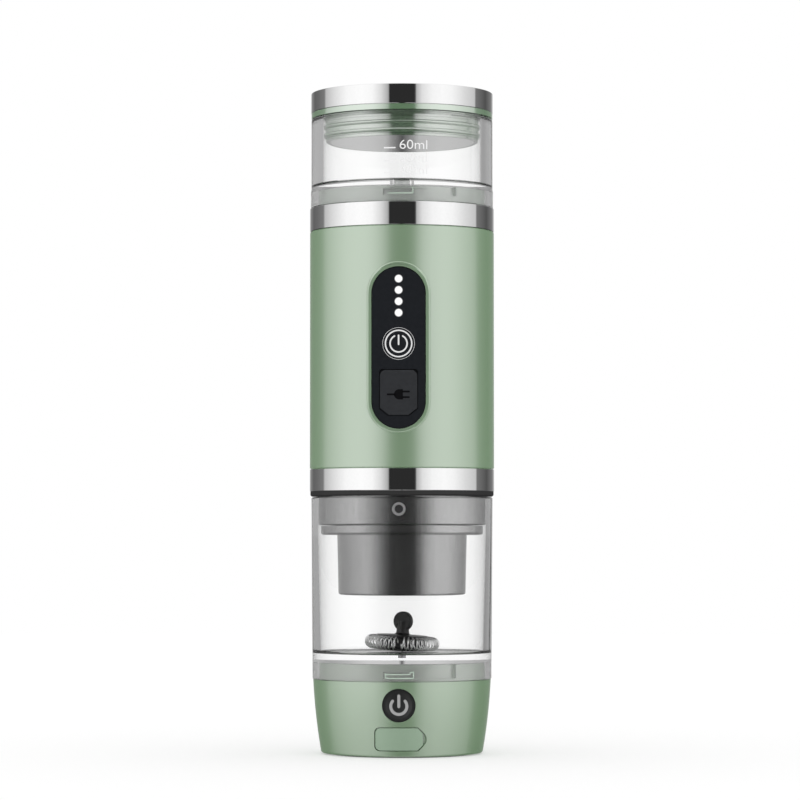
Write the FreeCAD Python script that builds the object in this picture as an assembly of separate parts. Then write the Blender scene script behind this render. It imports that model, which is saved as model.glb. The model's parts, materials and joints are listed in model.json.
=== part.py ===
"""Portable capsule coffee machine: a frother base, a clear cup, a brewing body, a water tank and a lid.

All sizes are millimetres and degrees. The machine stands on the plane z = 0, its axis is the Z axis,
and its control panel faces -Y. The bodies are stacked, so every height is worked out from the one below.
"""
import FreeCAD, Part
import math
import os

Vector = FreeCAD.Vector
ORIGIN = Vector(0, 0, 0)
ALONG_Y = Vector(0, 1, 0)
ALONG_Z = Vector(0, 0, 1)
FRONT = -90.0
ARC_SHARE = 1 - math.cos(math.radians(45))

# The body's radius drives the round stack: the steps below say how far each part stands in from it
body_radius = 35.4
body_wall = 2.0
gasket_step = 0.2
tank_skirt_step = 0.3
lid_cap_step = 0.4
tank_step = 0.5
cup_rim_step = 0.6
cup_skirt_step = 1.1
base_step = 1.35
dock_spigot_step = 3.5

# How far a cutter runs past a face, and how far a fused piece reaches into its neighbour
past = 1.0
sunk = 0.5

# Clearances
seat_gap = 0.3
slide_gap = 0.3
fit_gap = 0.1
button_gap = 0.2
press_travel = 0.8
switch_gap = 0.15

# Frother base: a tapered shell with a bayonet spigot on top
foot_proud = 0.4
base_lean = 3.15
base_top_radius = body_radius - base_step
base_foot_radius = base_top_radius - base_lean
base_belly = 0.45
base_height = 28.5
base_wall = 2.0
base_deck = 1.2
base_corner = 1.0
spigot_step = 2.35
spigot_wall = 3.7
spigot_radius = base_top_radius - spigot_step
spigot_bore = spigot_radius - spigot_wall
spigot_height = 6.4
spigot_roof = 1.8
base_cover_height = 2.6
foot_step = 3.3
foot_width = 3.6
foot_outer_radius = base_foot_radius - foot_step
foot_inner_radius = foot_outer_radius - foot_width
foot_height = 1.4
base_screw_circle_radius = (foot_outer_radius + foot_inner_radius) / 2
base_screw_angles = (90.0, 210.0, 330.0)
boss_radius = 2.5
screw_radius = 1.05
screw_head_radius = 1.8
screw_head_height = 0.9
base_screw_length = 8.0
port_pad_margin = 2.4
port_pad_rise = 0.9

# Base power button
base_button_radius = 6.1
base_button_z = 19.8
base_button_flange = 7.3
base_button_sink = 1.15
base_button_face = base_top_radius - base_button_sink
base_button_dish = 0.7
base_button_dish_share = 0.82
base_button_length = 3.6
flange_height = 0.9
button_seat_ring = 2.0
stem_radius = 1.8

# Base charging port and its rubber plug
plug_width = 17.9
plug_height = 8.4
plug_z = 7.1
plug_corner = 2.0
plug_skin = 1.3
plug_notch_radius = 3.2
plug_notch_reach = 1.4
plug_gap = 0.3
plug_tongue_width = 7.2
plug_tongue_height = 1.6
plug_tongue_reach = 1.1
port_wall_depth = 4.0
plug_hinge_radius = 0.65

# Charging sockets, the same part in the base and in the body
socket_width = 8.94
socket_height = 3.26
socket_wall = 0.3
socket_length = 5.5
socket_floor = 0.8
socket_tongue_width = 6.6
socket_tongue_height = 0.7
socket_tongue_back = 2.0
port_gap = 0.7
base_socket_depth = 3.4

# Base circuit board, battery, motor and magnet rotor
board_thickness = 1.6
base_board_width = 24.0
chip_size = 5.0
chip_height = 1.2
chip_x = -6.0
chip_z = 14.5
switch_size = 6.0
switch_corner = 0.6
base_switch_height = 4.4
panel_switch_height = 2.55
plunger_radius = 1.7
plunger_reach = 0.8
base_cell_margin = 0.9
base_cell_gap = 1.8
base_cell_corner = 2.0
base_motor_radius = 10.0
base_motor_height = 13.0
motor_nose_radius = 3.0
motor_nose_height = 1.0
bracket_radius = 13.0
bracket_gap = 1.5
bracket_plate = 1.8
bracket_height = 8.0
bracket_leg_radius = 1.6
bracket_leg_circle_radius = 11.2
shaft_radius = 1.0
rotor_radius = 9.5
rotor_height = 4.6
rotor_headroom = 0.9
magnet_radius = 3.0
magnet_height = 2.4
magnet_circle_radius = 5.4

# Bayonets: three lugs each, locked at rest and freed by a turn
lug_count = 3
lug_angle = 20.0
lug_height = 2.1
lug_reach = 1.4
lug_gap = 0.3
cup_lug_rise = 1.2
lug_side_gap = 1.0
lock_turn = 30.0

# Clear cup
cup_skirt_radius = body_radius - cup_skirt_step
cup_rim_radius = body_radius - cup_rim_step
cup_floor = 3.3
cup_depth = 59.5
cup_mouth_wall = 2.4
cup_heel_wall = 3.5
cup_mouth_radius = cup_rim_radius - cup_mouth_wall
cup_mouth_land = 15.0
cup_heel_radius = cup_rim_radius - cup_heel_wall
cup_heel_fillet = 1.2
rim_round = 0.6
spindle_radius = 1.0
spindle_height = 5.0
spindle_sink = 1.6
spindle_chamfer = 0.4

# Whisk: a hub on the spindle, a paddle grip and a ring of coiled wire
whisk_lean = 3.0
whisk_bore = 1.5
whisk_core_radius = 8.9
whisk_lip_radius = 9.7
whisk_lip = 0.5
whisk_lift = 0.75
grip_radius = 3.75
grip_thickness = 2.6
grip_turn = -25.0
grip_height = 9.0
grip_edge = 0.5
hub_cap_rise = 0.25
hub_cap_dome = 0.2
hub_headroom = 0.6
neck_radius = 2.45
neck_foot_radius = 3.6
neck_top_radius = 2.05
ring_radius = 11.7
curl_radius = 2.35
wire_radius = 0.3
curl_count = 47
spring_lift = 0.35
whisk_magnet_radius = 2.2
whisk_magnet_height = 2.0
whisk_magnet_circle_radius = 5.4

# Brew collar, thread and capsule holder
collar_wall = 2.1
collar_radius = cup_mouth_radius - slide_gap
collar_bore = collar_radius - collar_wall
collar_drop = 10.9
collar_edge = 0.4
collar_shoulder = 2.2
collar_shoulder_gap = 0.2
collar_roof = 2.2
collar_roof_bore = 19.0
collar_boss_inset = 3.2
collar_boss_circle_radius = collar_bore - collar_boss_inset
collar_boss_height = 6.0
eyelet_radius = 2.5
eyelet_bore = 1.6
eyelet_drop = 5.0
eyelet_sink = 1.2
holder_flange_gap = 1.3
holder_flange_radius = cup_mouth_radius - holder_flange_gap
holder_flange_height = 3.4
holder_flange_round = 0.9
holder_top_radius = 24.9
holder_bottom_radius = 24.4
holder_drop = 26.5
holder_wall = 2.4
holder_edge = 0.8
holder_floor = 2.0
spout_radius = 8.0
sleeve_root_radius = 22.9
sleeve_bore = 20.6
sleeve_height = 9.1
sleeve_sink = 8.0
thread_depth = 1.7
thread_clearance = 0.4
thread_starts = 3
thread_lead = 10.0
thread_root_width = 1.5
thread_crest_width = 0.9
thread_margin = 1.2
thread_sink = 0.3
thread_end = 0.2
thread_runout = 2.0

# Capsule basket, outlet pins and the parts above the capsule
basket_flange_radius = 21.3
basket_flange_height = 2.1
basket_wall = 1.7
chamber_top_radius = 15.3
chamber_bottom_radius = 12.6
chamber_depth = 28.0
basket_floor = 1.6
capsule_seat_radius = 19.0
capsule_seat_depth = 0.8
pin_count = 3
pin_radius = 1.1
pin_height = 5.0
pin_circle_radius = 6.0
drain_radius = 1.3
seal_ring_inner = 17.4
seal_ring_outer = 21.2
seal_ring_height = 1.7
seal_ring_lip = 0.4
seal_ring_groove = 0.3
water_bore = 1.0
plate_radius = 16.5
plate_thickness = 1.2
plenum_radius = 14.5
plenum_depth = 1.0
spike_count = 6
spike_radius = 1.0
spike_tip_radius = 0.15
spike_length = 4.8
spike_circle_radius = 8.0
spray_radius = 0.5
spray_circle_radius = 12.0

# Main body
gasket_radius = body_radius - gasket_step
gasket_height = 2.0
gasket_edge = 0.5
trim_wall = 2.0
lower_trim_height = 8.5
upper_trim_height = 8.9
trim_edge = 0.12
trim_joint = 0.1
housing_height = 91.2
housing_tongue = 3.6
housing_web = 1.9
housing_web_slope = 1.2
body_round = 0.4

# Control panel
panel_width = 20.3
panel_height = 60.9
panel_thickness = 2.2
panel_z = 45.05
panel_step = 0.8
panel_face = body_radius - panel_step
panel_edge = 0.3
lip_width = 1.6
lip_step = 0.4
lip_face = body_radius - lip_step
lip_edge = 0.5
ledge_width = 1.7
ledge_thickness = 1.4
light_count = 4
light_radius = 1.55
light_pitch = 4.27
light_drop = 4.6
light_length = 2.0
light_proud = 0.02
button_radius = 5.75
button_drop = 29.0
button_flange_radius = 6.9
button_proud = 0.1
port_cover_width = 14.0
port_cover_height = 16.9
port_cover_drop = 38.9
port_cover_thickness = 1.2
port_cover_proud = 0.2
port_cover_round = 2.4
port_recess_round = 1.2
port_cover_cut_width = 3.3
port_cover_cut_height = 2.6
port_cover_gap = 0.3
cover_tongue_width = 7.2
cover_tongue_height = 1.3
cover_tongue_reach = 1.2
port_drop = 8.6

# Chassis, batteries and boards in the body
chassis_gap = 2.0
chassis_plate = 2.5
chassis_hole = 5.0
chassis_top_hole = 15.0
spine_width = 18.0
spine_thickness = 1.8
shelf_height = 12.0
shelf_plate = 2.5
shelf_margin = 0.5
shelf_hole_radius = 3.0
chassis_screw_bite = 5.0
control_board_width = 20.0
control_board_height = 60.0
control_board_setback = 5.0
cell_radius = 9.2
cell_length = 65.2
cell_wall_gap = 1.4
cell_angles = (35.0, 90.0, 145.0)
cell_cap_radius = 3.0
cell_cap_height = 0.9
tray_gap = 0.8
tray_width = 19.6
tray_span = 152.0
tray_height = 5.0
tray_pocket = 3.0
tray_post_radius = 2.0
tray_post_inset = 2.8
tray_post_angles = (62.5, 117.5)

# Pump, heater and hoses
pump_x = -6.0
pump_y = -9.0
pump_radius = 12.0
pump_motor_height = 31.0
pump_head_radius = 12.5
pump_head_height = 21.0
pump_chamber_radius = 8.5
pump_chamber_floor = 2.4
pump_chamber_height = 14.0
pump_shaft_radius = 1.2
pump_bore_radius = 1.6
pump_bore_depth = 10.0
cam_radius = 4.0
cam_offset = 1.5
cam_height = 6.0
cam_lift = 1.5
pump_shaft_nose = 1.0
port_pitch = 9.0
barb_radius = 2.0
barb_bore = 1.0
barb_height = 4.0
heater_x = 17.0
heater_y = -12.0
heater_radius = 8.0
heater_length = 50.0
heater_barb = 5.5
heater_edge = 1.0
hose_wall = 0.9
hose_rise = 8.0
hose_floor_gap = 0.5
hose_bend_share = 0.45

# Tank dock, tank and valve
dock_spigot_wall = 2.5
dock_spigot_radius = body_radius - dock_spigot_step
dock_spigot_height = 6.0
dock_spigot_bore = dock_spigot_radius - dock_spigot_wall
dock_well_radius = 12.0
dock_well_wall = 1.8
dock_well_rise = 1.5
dock_roof = 2.0
dock_nipple_radius = 2.2
dock_nipple_height = 2.2
dock_boss_height = 8.6
dock_seal_inner = 7.4
dock_seal_outer = 9.4
dock_seal_foot = 2.0
dock_seal_slope = 0.4
dock_seal_neck = 0.7
dock_seal_lip = 0.4
tank_skirt_radius = body_radius - tank_skirt_step
tank_radius = body_radius - tank_step
tank_wall = 4.5
tank_floor = 2.1
tank_depth = 26.1
tank_heel = 0.8
tank_lug_rise = 2.9
tank_lug_height = 1.8
tank_shoulder = 1.2
valve_radius = 3.0
valve_flange_radius = 5.0
valve_flange = 1.2
valve_drop = 1.5
valve_tip = 0.6
valve_edge = 0.8
valve_skirt = 0.5

# Lid
lid_flange = 2.0
lid_cap_radius = body_radius - lid_cap_step
lid_cap_height = 7.7
lid_cap_wall = 1.2
lid_cap_edge = 0.25
lid_cap_chamfer = 0.2
lid_plug_gap = 1.1
plug_depth = 9.4
plug_wall = 2.2
plug_roof = 1.6
seal_seat_depth = 1.1
seal_seat_height = 6.4
seal_seat_lift = 0.9
seal_gap = 0.2
seal_rib = 0.8
seal_rib_share = 0.35
seal_web = 0.2
liner_thickness = 0.8
liner_ledge = 0.8

# Heights of the stack, from the table up
base_floor_top = foot_proud + base_cover_height
spigot_top = base_height + spigot_height
cup_skirt_z = base_height + seat_gap
cup_lug_z = cup_skirt_z + cup_lug_rise
cup_floor_z = spigot_top + seat_gap
cup_floor_top = cup_floor_z + cup_floor
cup_rim_z = cup_floor_top + cup_depth
gasket_z = cup_rim_z + seat_gap
lower_trim_z = gasket_z + gasket_height
housing_z = lower_trim_z + lower_trim_height
housing_top = housing_z + housing_height
dock_z = housing_top + upper_trim_height
dock_top = dock_z + dock_spigot_height
tank_skirt_z = dock_z + seat_gap
tank_lug_z = dock_z + tank_lug_rise
tank_floor_z = dock_top + seat_gap
tank_floor_top = tank_floor_z + tank_floor
tank_rim_z = tank_floor_top + tank_depth
lid_flange_z = tank_rim_z + seat_gap
lid_cap_z = lid_flange_z + lid_flange
lid_top = lid_cap_z + lid_cap_height

# Heights and radii that hang from the stack
collar_z = gasket_z - collar_drop
collar_roof_z = lower_trim_z + collar_shoulder
collar_top = collar_roof_z + collar_roof
holder_top = collar_z - seat_gap
holder_bottom = holder_top - holder_drop
sleeve_top = holder_top + sleeve_height
basket_top = sleeve_top + fit_gap
basket_bottom = basket_top - chamber_depth - basket_floor
seal_ring_z = basket_top + seat_gap
brew_head_z = seal_ring_z + seal_ring_height + seat_gap
brew_head_top = collar_roof_z - fit_gap
insert_z = collar_z + seat_gap
insert_crest_radius = sleeve_root_radius + thread_clearance
insert_root_radius = insert_crest_radius + thread_depth
sleeve_crest_radius = sleeve_root_radius + thread_depth
inner_radius = body_radius - body_wall
trim_bore = body_radius - trim_wall
collar_shoulder_radius = trim_bore - collar_shoulder_gap
chassis_radius = inner_radius - chassis_gap
cell_circle_radius = inner_radius - cell_wall_gap - cell_radius
tray_outer_radius = inner_radius - tray_gap
tray_inner_radius = tray_outer_radius - tray_width
tray_post_circle_radius = tray_outer_radius - tray_post_inset
tongue_radius = trim_bore - fit_gap
tongue_bore = tongue_radius - 1.4
chassis_z = collar_top + collar_boss_height
chassis_floor = chassis_z + chassis_plate
shelf_z = chassis_floor + shelf_height
shelf_top = shelf_z + shelf_plate
panel_mid_z = housing_z + panel_z
panel_top = panel_mid_z + panel_height / 2
panel_back = panel_face - panel_thickness
ledge_face = panel_back - fit_gap
control_board_y = panel_back - control_board_setback
button_z = panel_top - button_drop
port_cover_top = panel_top - port_cover_drop
port_z = port_cover_top - port_drop
spine_y = -(control_board_y - board_thickness - fit_gap)
dock_floor_z = housing_top + housing_tongue + fit_gap
chassis_roof_z = dock_floor_z - dock_boss_height - chassis_plate
tank_bore = tank_radius - tank_wall
plug_radius = tank_bore - lid_plug_gap
base_cell_y = bracket_radius + bracket_gap
base_cell_depth = base_screw_circle_radius - boss_radius - base_cell_gap - base_cell_y
base_cell_width = base_foot_radius - base_cell_margin
rotor_z = spigot_top - spigot_roof - rotor_headroom - rotor_height


def outline(points, plane="xz", at=0.0):
    """A closed outline: a pair is a corner, four numbers are an arc through the first pair."""
    place = {
        "xz": lambda u, v: Vector(u, at, v),
        "xy": lambda u, v: Vector(u, v, at),
        "yz": lambda u, v: Vector(at, u, v),
    }[plane]
    start = place(*points[0])
    here = start
    edges = []
    for step in list(points[1:]) + [points[0]]:
        there = place(*step[-2:])
        if len(step) == 4:
            edges.append(Part.Arc(here, place(*step[:2]), there).toShape())
        elif here.distanceToPoint(there) > 1e-6:
            edges.append(Part.LineSegment(here, there).toShape())
        here = there
    return Part.Face(Part.Wire(edges))


def lathe(points):
    """A solid turned about the Z axis from an outline of radius and height."""
    return outline(points).revolve(ORIGIN, ALONG_Z, 360)


def slab_y(points, front, back):
    """An outline in the X-Z plane, thickened from y = -front to y = -back."""
    return outline(points, "xz", -front).extrude(Vector(0, front - back, 0))


def slab_z(points, low, high):
    return outline(points, "xy", low).extrude(Vector(0, 0, high - low))


def block(x0, x1, y0, y1, z0, z1):
    return Part.makeBox(x1 - x0, y1 - y0, z1 - z0, Vector(x0, y0, z0))


def peg(x, y, radius, low, high):
    """An upright cylinder."""
    return Part.makeCylinder(radius, high - low, Vector(x, y, low), ALONG_Z)


def bolt(x, z, radius, front, back):
    """A cylinder along Y, from y = -front to y = -back."""
    return Part.makeCylinder(radius, front - back, Vector(x, -front, z), ALONG_Y)


def tube(inner, outer, low, high):
    return peg(0, 0, outer, low, high).cut(peg(0, 0, inner, low, high))


def sector(inner, outer, low, high, middle, width):
    """A piece of a tube, as wide as an angle, about a middle angle."""
    arc = Part.makeCylinder(outer, high - low, Vector(0, 0, low), ALONG_Z, width)
    arc = arc.cut(peg(0, 0, inner, low, high))
    arc.rotate(ORIGIN, ALONG_Z, middle - width / 2)
    return arc


def round_box(cx, cy, width, height, radius):
    """The outline of a rectangle with round corners, or of a pill when the radius is half its width."""
    radius = min(radius, width / 2, height / 2)
    x0, x1 = cx - width / 2, cx + width / 2
    y0, y1 = cy - height / 2, cy + height / 2
    k = radius * ARC_SHARE
    return [
        (x0 + radius, y0),
        (x1 - radius, y0),
        (x1 - k, y0 + k, x1, y0 + radius),
        (x1, y1 - radius),
        (x1 - k, y1 - k, x1 - radius, y1),
        (x0 + radius, y1),
        (x0 + k, y1 - k, x0, y1 - radius),
        (x0, y0 + radius),
        (x0 + k, y0 + k, x0 + radius, y0),
    ]


def around(count, first=FRONT):
    return [first + 360.0 * n / count for n in range(count)]


def polar(radius, angle):
    turn = math.radians(angle)
    return radius * math.cos(turn), radius * math.sin(turn)


def fuse(first, *others):
    return first.fuse(list(others)).removeSplitter()


def cut(first, *others):
    return first.cut(list(others)).removeSplitter()


def single(shape):
    """The one solid that a piece must be."""
    if len(shape.Solids) != 1:
        raise ValueError("expected one solid, found %d" % len(shape.Solids))
    return shape.Solids[0]


def save(name, *solids):
    """Write a node, from one solid or a group of alike solids."""
    pieces = [single(solid) for solid in solids]
    shape = pieces[0] if len(pieces) == 1 else Part.makeCompound(pieces)
    shape.exportStep("parts/%s.step" % name)
    print("%-22s %2d solid(s) %10.1f mm3 %s" % (name, len(pieces), shape.Volume, shape.isValid()))


def screw(x, y, head_z, length):
    """A screw whose head's face is at head_z, pointing up for a positive length."""
    way = 1 if length > 0 else -1
    head = Part.makeCylinder(screw_head_radius, screw_head_height, Vector(x, y, head_z), ALONG_Z * way)
    shank = Part.makeCylinder(screw_radius, abs(length), Vector(x, y, head_z), ALONG_Z * way)
    return fuse(head, shank)


# Frother base

def base_taper(inset):
    """The tapered outside of the base, drawn in by an inset."""
    low = base_foot_radius - inset
    high = base_top_radius - inset
    middle_z = (foot_proud + base_height) / 2
    return lathe([
        (0, foot_proud),
        (low, foot_proud),
        ((low + high) / 2 + base_belly, middle_z, high, base_height),
        (0, base_height),
    ])


def base_radius_at(z):
    """The outside radius of the base at a height, from the chord and belly of its side."""
    share = (z - foot_proud) / (base_height - foot_proud)
    straight = base_foot_radius + share * (base_top_radius - base_foot_radius)
    return straight + base_belly * 4 * share * (1 - share)


def bayonet_slots(inner, outer, low, high, mouth, way):
    """L-shaped slots: a channel along the lock turn and an entry that leaves through the mouth."""
    slots = []
    wide = lug_angle + lug_side_gap
    for angle in around(lug_count):
        middle = angle + way * lock_turn / 2
        slots.append(sector(inner, outer, low, high, middle, wide + lock_turn))
        entry = angle + way * lock_turn
        slots.append(sector(inner, outer, min(low, mouth), max(high, mouth), entry, wide))
    return slots


def port_opening():
    return slab_y(
        round_box(0, plug_z, socket_width + 2 * port_gap, socket_height + 2 * port_gap, 2),
        base_top_radius,
        spigot_bore - port_wall_depth,
    )


def make_base_housing():
    shell = base_taper(0)
    shell = shell.makeFillet(base_corner, [edge for edge in shell.Edges if is_ring(edge, foot_proud)])
    shell = fuse(shell, peg(0, 0, spigot_radius, base_height, spigot_top))
    deck_z = base_height - base_deck
    hollow = base_taper(base_wall).common(peg(0, 0, base_top_radius, foot_proud, deck_z))
    hollow = fuse(hollow, peg(0, 0, spigot_bore, deck_z, spigot_top - spigot_roof))
    shell = cut(shell, hollow)
    shell = shell.cut(bayonet_slots(spigot_radius - lug_reach, spigot_radius + past, cup_lug_z - lug_gap,
                                    cup_lug_z + lug_height + lug_gap, spigot_top, 1))
    pad_half = plug_width / 2 + port_pad_margin
    port_pad = block(-pad_half, pad_half, -base_top_radius, -spigot_bore,
                     base_floor_top + fit_gap, plug_z + plug_height / 2 + port_pad_rise)
    button_back = base_button_face - base_button_length + flange_height + button_gap
    button_pad = bolt(0, base_button_z, base_button_radius + button_gap + button_seat_ring,
                      base_top_radius, button_back)
    pads = fuse(port_pad, button_pad).common(base_taper(base_wall / 2))
    bosses = []
    for angle in base_screw_angles:
        x, y = polar(base_screw_circle_radius, angle)
        bosses.append(peg(x, y, boss_radius, base_floor_top, deck_z + sunk))
    shell = fuse(shell, pads, *bosses)
    skin = base_taper(-past).cut(base_taper(plug_skin + plug_gap))
    recess = slab_y(plug_outline(plug_gap), base_top_radius + past, spigot_bore)
    notch_x = plug_width / 2 + plug_notch_reach - plug_notch_radius
    recess = recess.fuse(bolt(notch_x, plug_z, plug_notch_radius, base_top_radius + past, spigot_bore))
    holes = [recess.common(skin), port_opening()]
    button_hole = base_button_radius + button_gap
    holes.append(bolt(0, base_button_z, button_hole, base_top_radius + past, spigot_bore))
    for angle in base_screw_angles:
        x, y = polar(base_screw_circle_radius, angle)
        holes.append(peg(x, y, screw_radius + fit_gap, base_floor_top, base_floor_top + base_screw_length))
    return cut(shell, *holes)


def is_ring(edge, z):
    """Whether an edge is a full circle that lies at a height."""
    box = edge.BoundBox
    return abs(box.ZMin - z) < 1e-4 and abs(box.ZMax - z) < 1e-4 and box.XLength > 1


def plug_outline(gap):
    """The plug seen from the front: round corners at its hinge, cut corners at its free end."""
    x0, x1 = -plug_width / 2 - gap, plug_width / 2 + gap
    z0, z1 = plug_z - plug_height / 2 - gap, plug_z + plug_height / 2 + gap
    k = plug_corner * ARC_SHARE
    return [
        (x0 + plug_corner, z0),
        (x1 - plug_corner, z0),
        (x1, z0 + plug_corner),
        (x1, z1 - plug_corner),
        (x1 - plug_corner, z1),
        (x0 + plug_corner, z1),
        (x0 + k, z1 - k, x0, z1 - plug_corner),
        (x0, z0 + plug_corner),
        (x0 + k, z0 + k, x0 + plug_corner, z0),
    ]


base_socket_face = base_radius_at(plug_z) - base_socket_depth
base_board_face = base_socket_face - socket_length


# The plug swings about the middle of its rounded left edge, which follows the taper of the base
plug_axis_x = -plug_width / 2 + plug_hinge_radius
plug_axis_y = -math.sqrt(base_radius_at(plug_z) ** 2 - plug_axis_x ** 2) + plug_hinge_radius
plug_axis = Vector(plug_axis_x, plug_axis_y, plug_z)
plug_axis_up = Vector(0, base_radius_at(plug_z) - base_radius_at(plug_z + 1), 1).normalize()


def make_base_plug():
    skin = base_taper(0).cut(base_taper(plug_skin))
    cap = slab_y(plug_outline(0), base_top_radius, spigot_bore / 2)
    hinge_edge = block(-base_top_radius, plug_axis_x, -base_top_radius, 0, 0, base_height)
    rod_low = plug_axis - plug_axis_up * plug_height
    rod = Part.makeCylinder(plug_hinge_radius, 2 * plug_height, rod_low, plug_axis_up)
    cap = fuse(cap.common(skin).cut(hinge_edge), cap.common(rod))
    tongue = slab_y(
        round_box(0, plug_z, plug_tongue_width, plug_tongue_height, plug_tongue_height / 2),
        base_radius_at(plug_z) - plug_skin / 2,
        base_socket_face - plug_tongue_reach,
    )
    return fuse(cap, tongue)


def make_base_cover():
    radius = base_foot_radius - base_wall - fit_gap
    plate = peg(0, 0, radius, foot_proud, base_floor_top)
    groove = tube(foot_inner_radius - fit_gap, foot_outer_radius + fit_gap, foot_proud, foot_height)
    holes = []
    for angle in base_screw_angles:
        x, y = polar(base_screw_circle_radius, angle)
        holes.append(peg(x, y, screw_radius + fit_gap, foot_proud, base_floor_top))
        holes.append(peg(x, y, screw_head_radius + fit_gap, foot_proud, foot_height + screw_head_height))
    return cut(plate, groove, *holes)


def make_foot_ring():
    edge = foot_proud * 0.75
    top = foot_height - fit_gap / 2
    return lathe([
        (foot_inner_radius, edge),
        (foot_inner_radius + edge, 0),
        (foot_outer_radius - edge, 0),
        (foot_outer_radius, edge),
        (foot_outer_radius, top),
        (foot_inner_radius, top),
    ])


def make_base_screws():
    screws = []
    for angle in base_screw_angles:
        x, y = polar(base_screw_circle_radius, angle)
        screws.append(screw(x, y, foot_height, base_screw_length))
    return screws


def dished_cap(radius, flange, face, length, dish, stem_end, z):
    """A push button along Y: a cap with a dished face, a retaining flange and a stem."""
    cap = bolt(0, z, radius, face, face - length)
    if dish > 0:
        rim = radius * base_button_dish_share
        ball = (rim * rim + dish * dish) / (2 * dish)
        cap = cap.cut(Part.makeSphere(ball, Vector(0, -face + dish - ball, z)))
    back = face - length
    ring = bolt(0, z, flange, back + flange_height, back)
    stem = bolt(0, z, stem_radius, back + sunk, stem_end)
    return fuse(cap, ring, stem)


base_switch_tip = base_board_face + base_switch_height
base_stem_end = base_switch_tip + press_travel + switch_gap


def make_base_button():
    return dished_cap(base_button_radius, base_button_flange, base_button_face, base_button_length,
                      base_button_dish, base_stem_end, base_button_z)


def make_switch(z, tip, board_face):
    body = slab_y(round_box(0, z, switch_size, switch_size, switch_corner), tip - plunger_reach, board_face)
    return fuse(body, bolt(0, z, plunger_radius, tip, board_face))


def make_socket(z, face, length):
    """A charging socket: a pill-shaped shell, open to the front, with a contact tongue."""
    shell = slab_y(round_box(0, z, socket_width, socket_height, socket_height / 2), face, face - length)
    inside = (socket_width - 2 * socket_wall, socket_height - 2 * socket_wall)
    bore = slab_y(round_box(0, z, *inside, inside[1] / 2), face, face - length + socket_floor)
    half = socket_tongue_width / 2
    rise = socket_tongue_height / 2
    tongue_end = face - length + socket_floor / 2
    tongue = block(-half, half, -(face - socket_tongue_back), -tongue_end, z - rise, z + rise)
    return fuse(shell.cut(bore), tongue)


def make_base_board():
    low = base_floor_top + fit_gap
    high = base_height - base_wall - seat_gap
    half = base_board_width / 2
    board = block(-half, half, -base_board_face, -base_board_face + board_thickness, low, high)
    back = -base_board_face + board_thickness
    half = chip_size / 2
    chip = block(chip_x - half, chip_x + half, back - board_thickness / 2, back + chip_height,
                 chip_z - half, chip_z + half)
    return fuse(board, chip)


def make_base_battery():
    low = base_floor_top + fit_gap
    high = base_height - base_wall - seat_gap
    middle_y = base_cell_y + base_cell_depth / 2
    outline_xy = round_box(0, middle_y, base_cell_width, base_cell_depth, base_cell_corner)
    return slab_z(outline_xy, low, high)


def make_motor_bracket():
    top = base_floor_top + bracket_height
    plate = peg(0, 0, bracket_radius, top - bracket_plate, top)
    legs = []
    for angle in around(3, 90.0):
        x, y = polar(bracket_leg_circle_radius, angle)
        legs.append(peg(x, y, bracket_leg_radius, base_floor_top, top - bracket_plate / 2))
    return fuse(plate, *legs)


base_motor_z = base_floor_top + bracket_height


def make_base_motor():
    top = base_motor_z + base_motor_height
    can = peg(0, 0, base_motor_radius, base_motor_z, top)
    nose = peg(0, 0, motor_nose_radius, top - sunk, top + motor_nose_height)
    middle = base_motor_z + base_motor_height / 2
    bore = peg(0, 0, shaft_radius + slide_gap, middle, top + motor_nose_height)
    return cut(fuse(can, nose), bore)


def make_rotor():
    top = rotor_z + rotor_height
    disc = peg(0, 0, rotor_radius, rotor_z, top)
    shaft = peg(0, 0, shaft_radius, base_motor_z + base_motor_height / 2 + slide_gap, rotor_z + sunk)
    pockets = [peg(x, 0, magnet_radius + fit_gap / 2, top - magnet_height, top)
               for x in (-magnet_circle_radius, magnet_circle_radius)]
    return cut(fuse(disc, shaft), *pockets)


def make_rotor_magnets():
    top = rotor_z + rotor_height
    sides = (-magnet_circle_radius, magnet_circle_radius)
    return [peg(x, 0, magnet_radius, top - magnet_height, top) for x in sides]


# Cup and whisk

def make_cup():
    land_z = cup_rim_z - cup_mouth_land
    heel_z = cup_floor_top + cup_heel_fillet
    heel_r = cup_heel_radius - cup_heel_fillet
    k = cup_heel_fillet * ARC_SHARE
    k2 = rim_round * ARC_SHARE
    skirt_bore = spigot_radius + slide_gap
    wall = lathe([
        (skirt_bore, cup_skirt_z),
        (cup_skirt_radius, cup_skirt_z),
        (cup_rim_radius, cup_rim_z - rim_round),
        (cup_rim_radius - k2, cup_rim_z - k2, cup_rim_radius - rim_round, cup_rim_z),
        (cup_mouth_radius + rim_round, cup_rim_z),
        (cup_mouth_radius + k2, cup_rim_z - k2, cup_mouth_radius, cup_rim_z - rim_round),
        (cup_mouth_radius, land_z),
        (cup_heel_radius, heel_z),
        (cup_heel_radius - k, cup_floor_top + k, heel_r, cup_floor_top),
        (0, cup_floor_top),
        (0, cup_floor_z),
        (skirt_bore, cup_floor_z),
    ])
    lugs = []
    for angle in around(lug_count):
        lugs.append(sector(skirt_bore - lug_reach, skirt_bore + sunk, cup_lug_z, cup_lug_z + lug_height,
                           angle, lug_angle))
    pin_hole = peg(0, 0, spindle_radius, cup_floor_top - spindle_sink, cup_floor_top)
    return cut(fuse(wall, *lugs), pin_hole)


def make_spindle():
    top = cup_floor_top + spindle_height
    return lathe([
        (0, cup_floor_top - spindle_sink),
        (spindle_radius, cup_floor_top - spindle_sink),
        (spindle_radius, top - spindle_chamfer),
        (spindle_radius - spindle_chamfer, top),
        (0, top),
    ])


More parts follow.
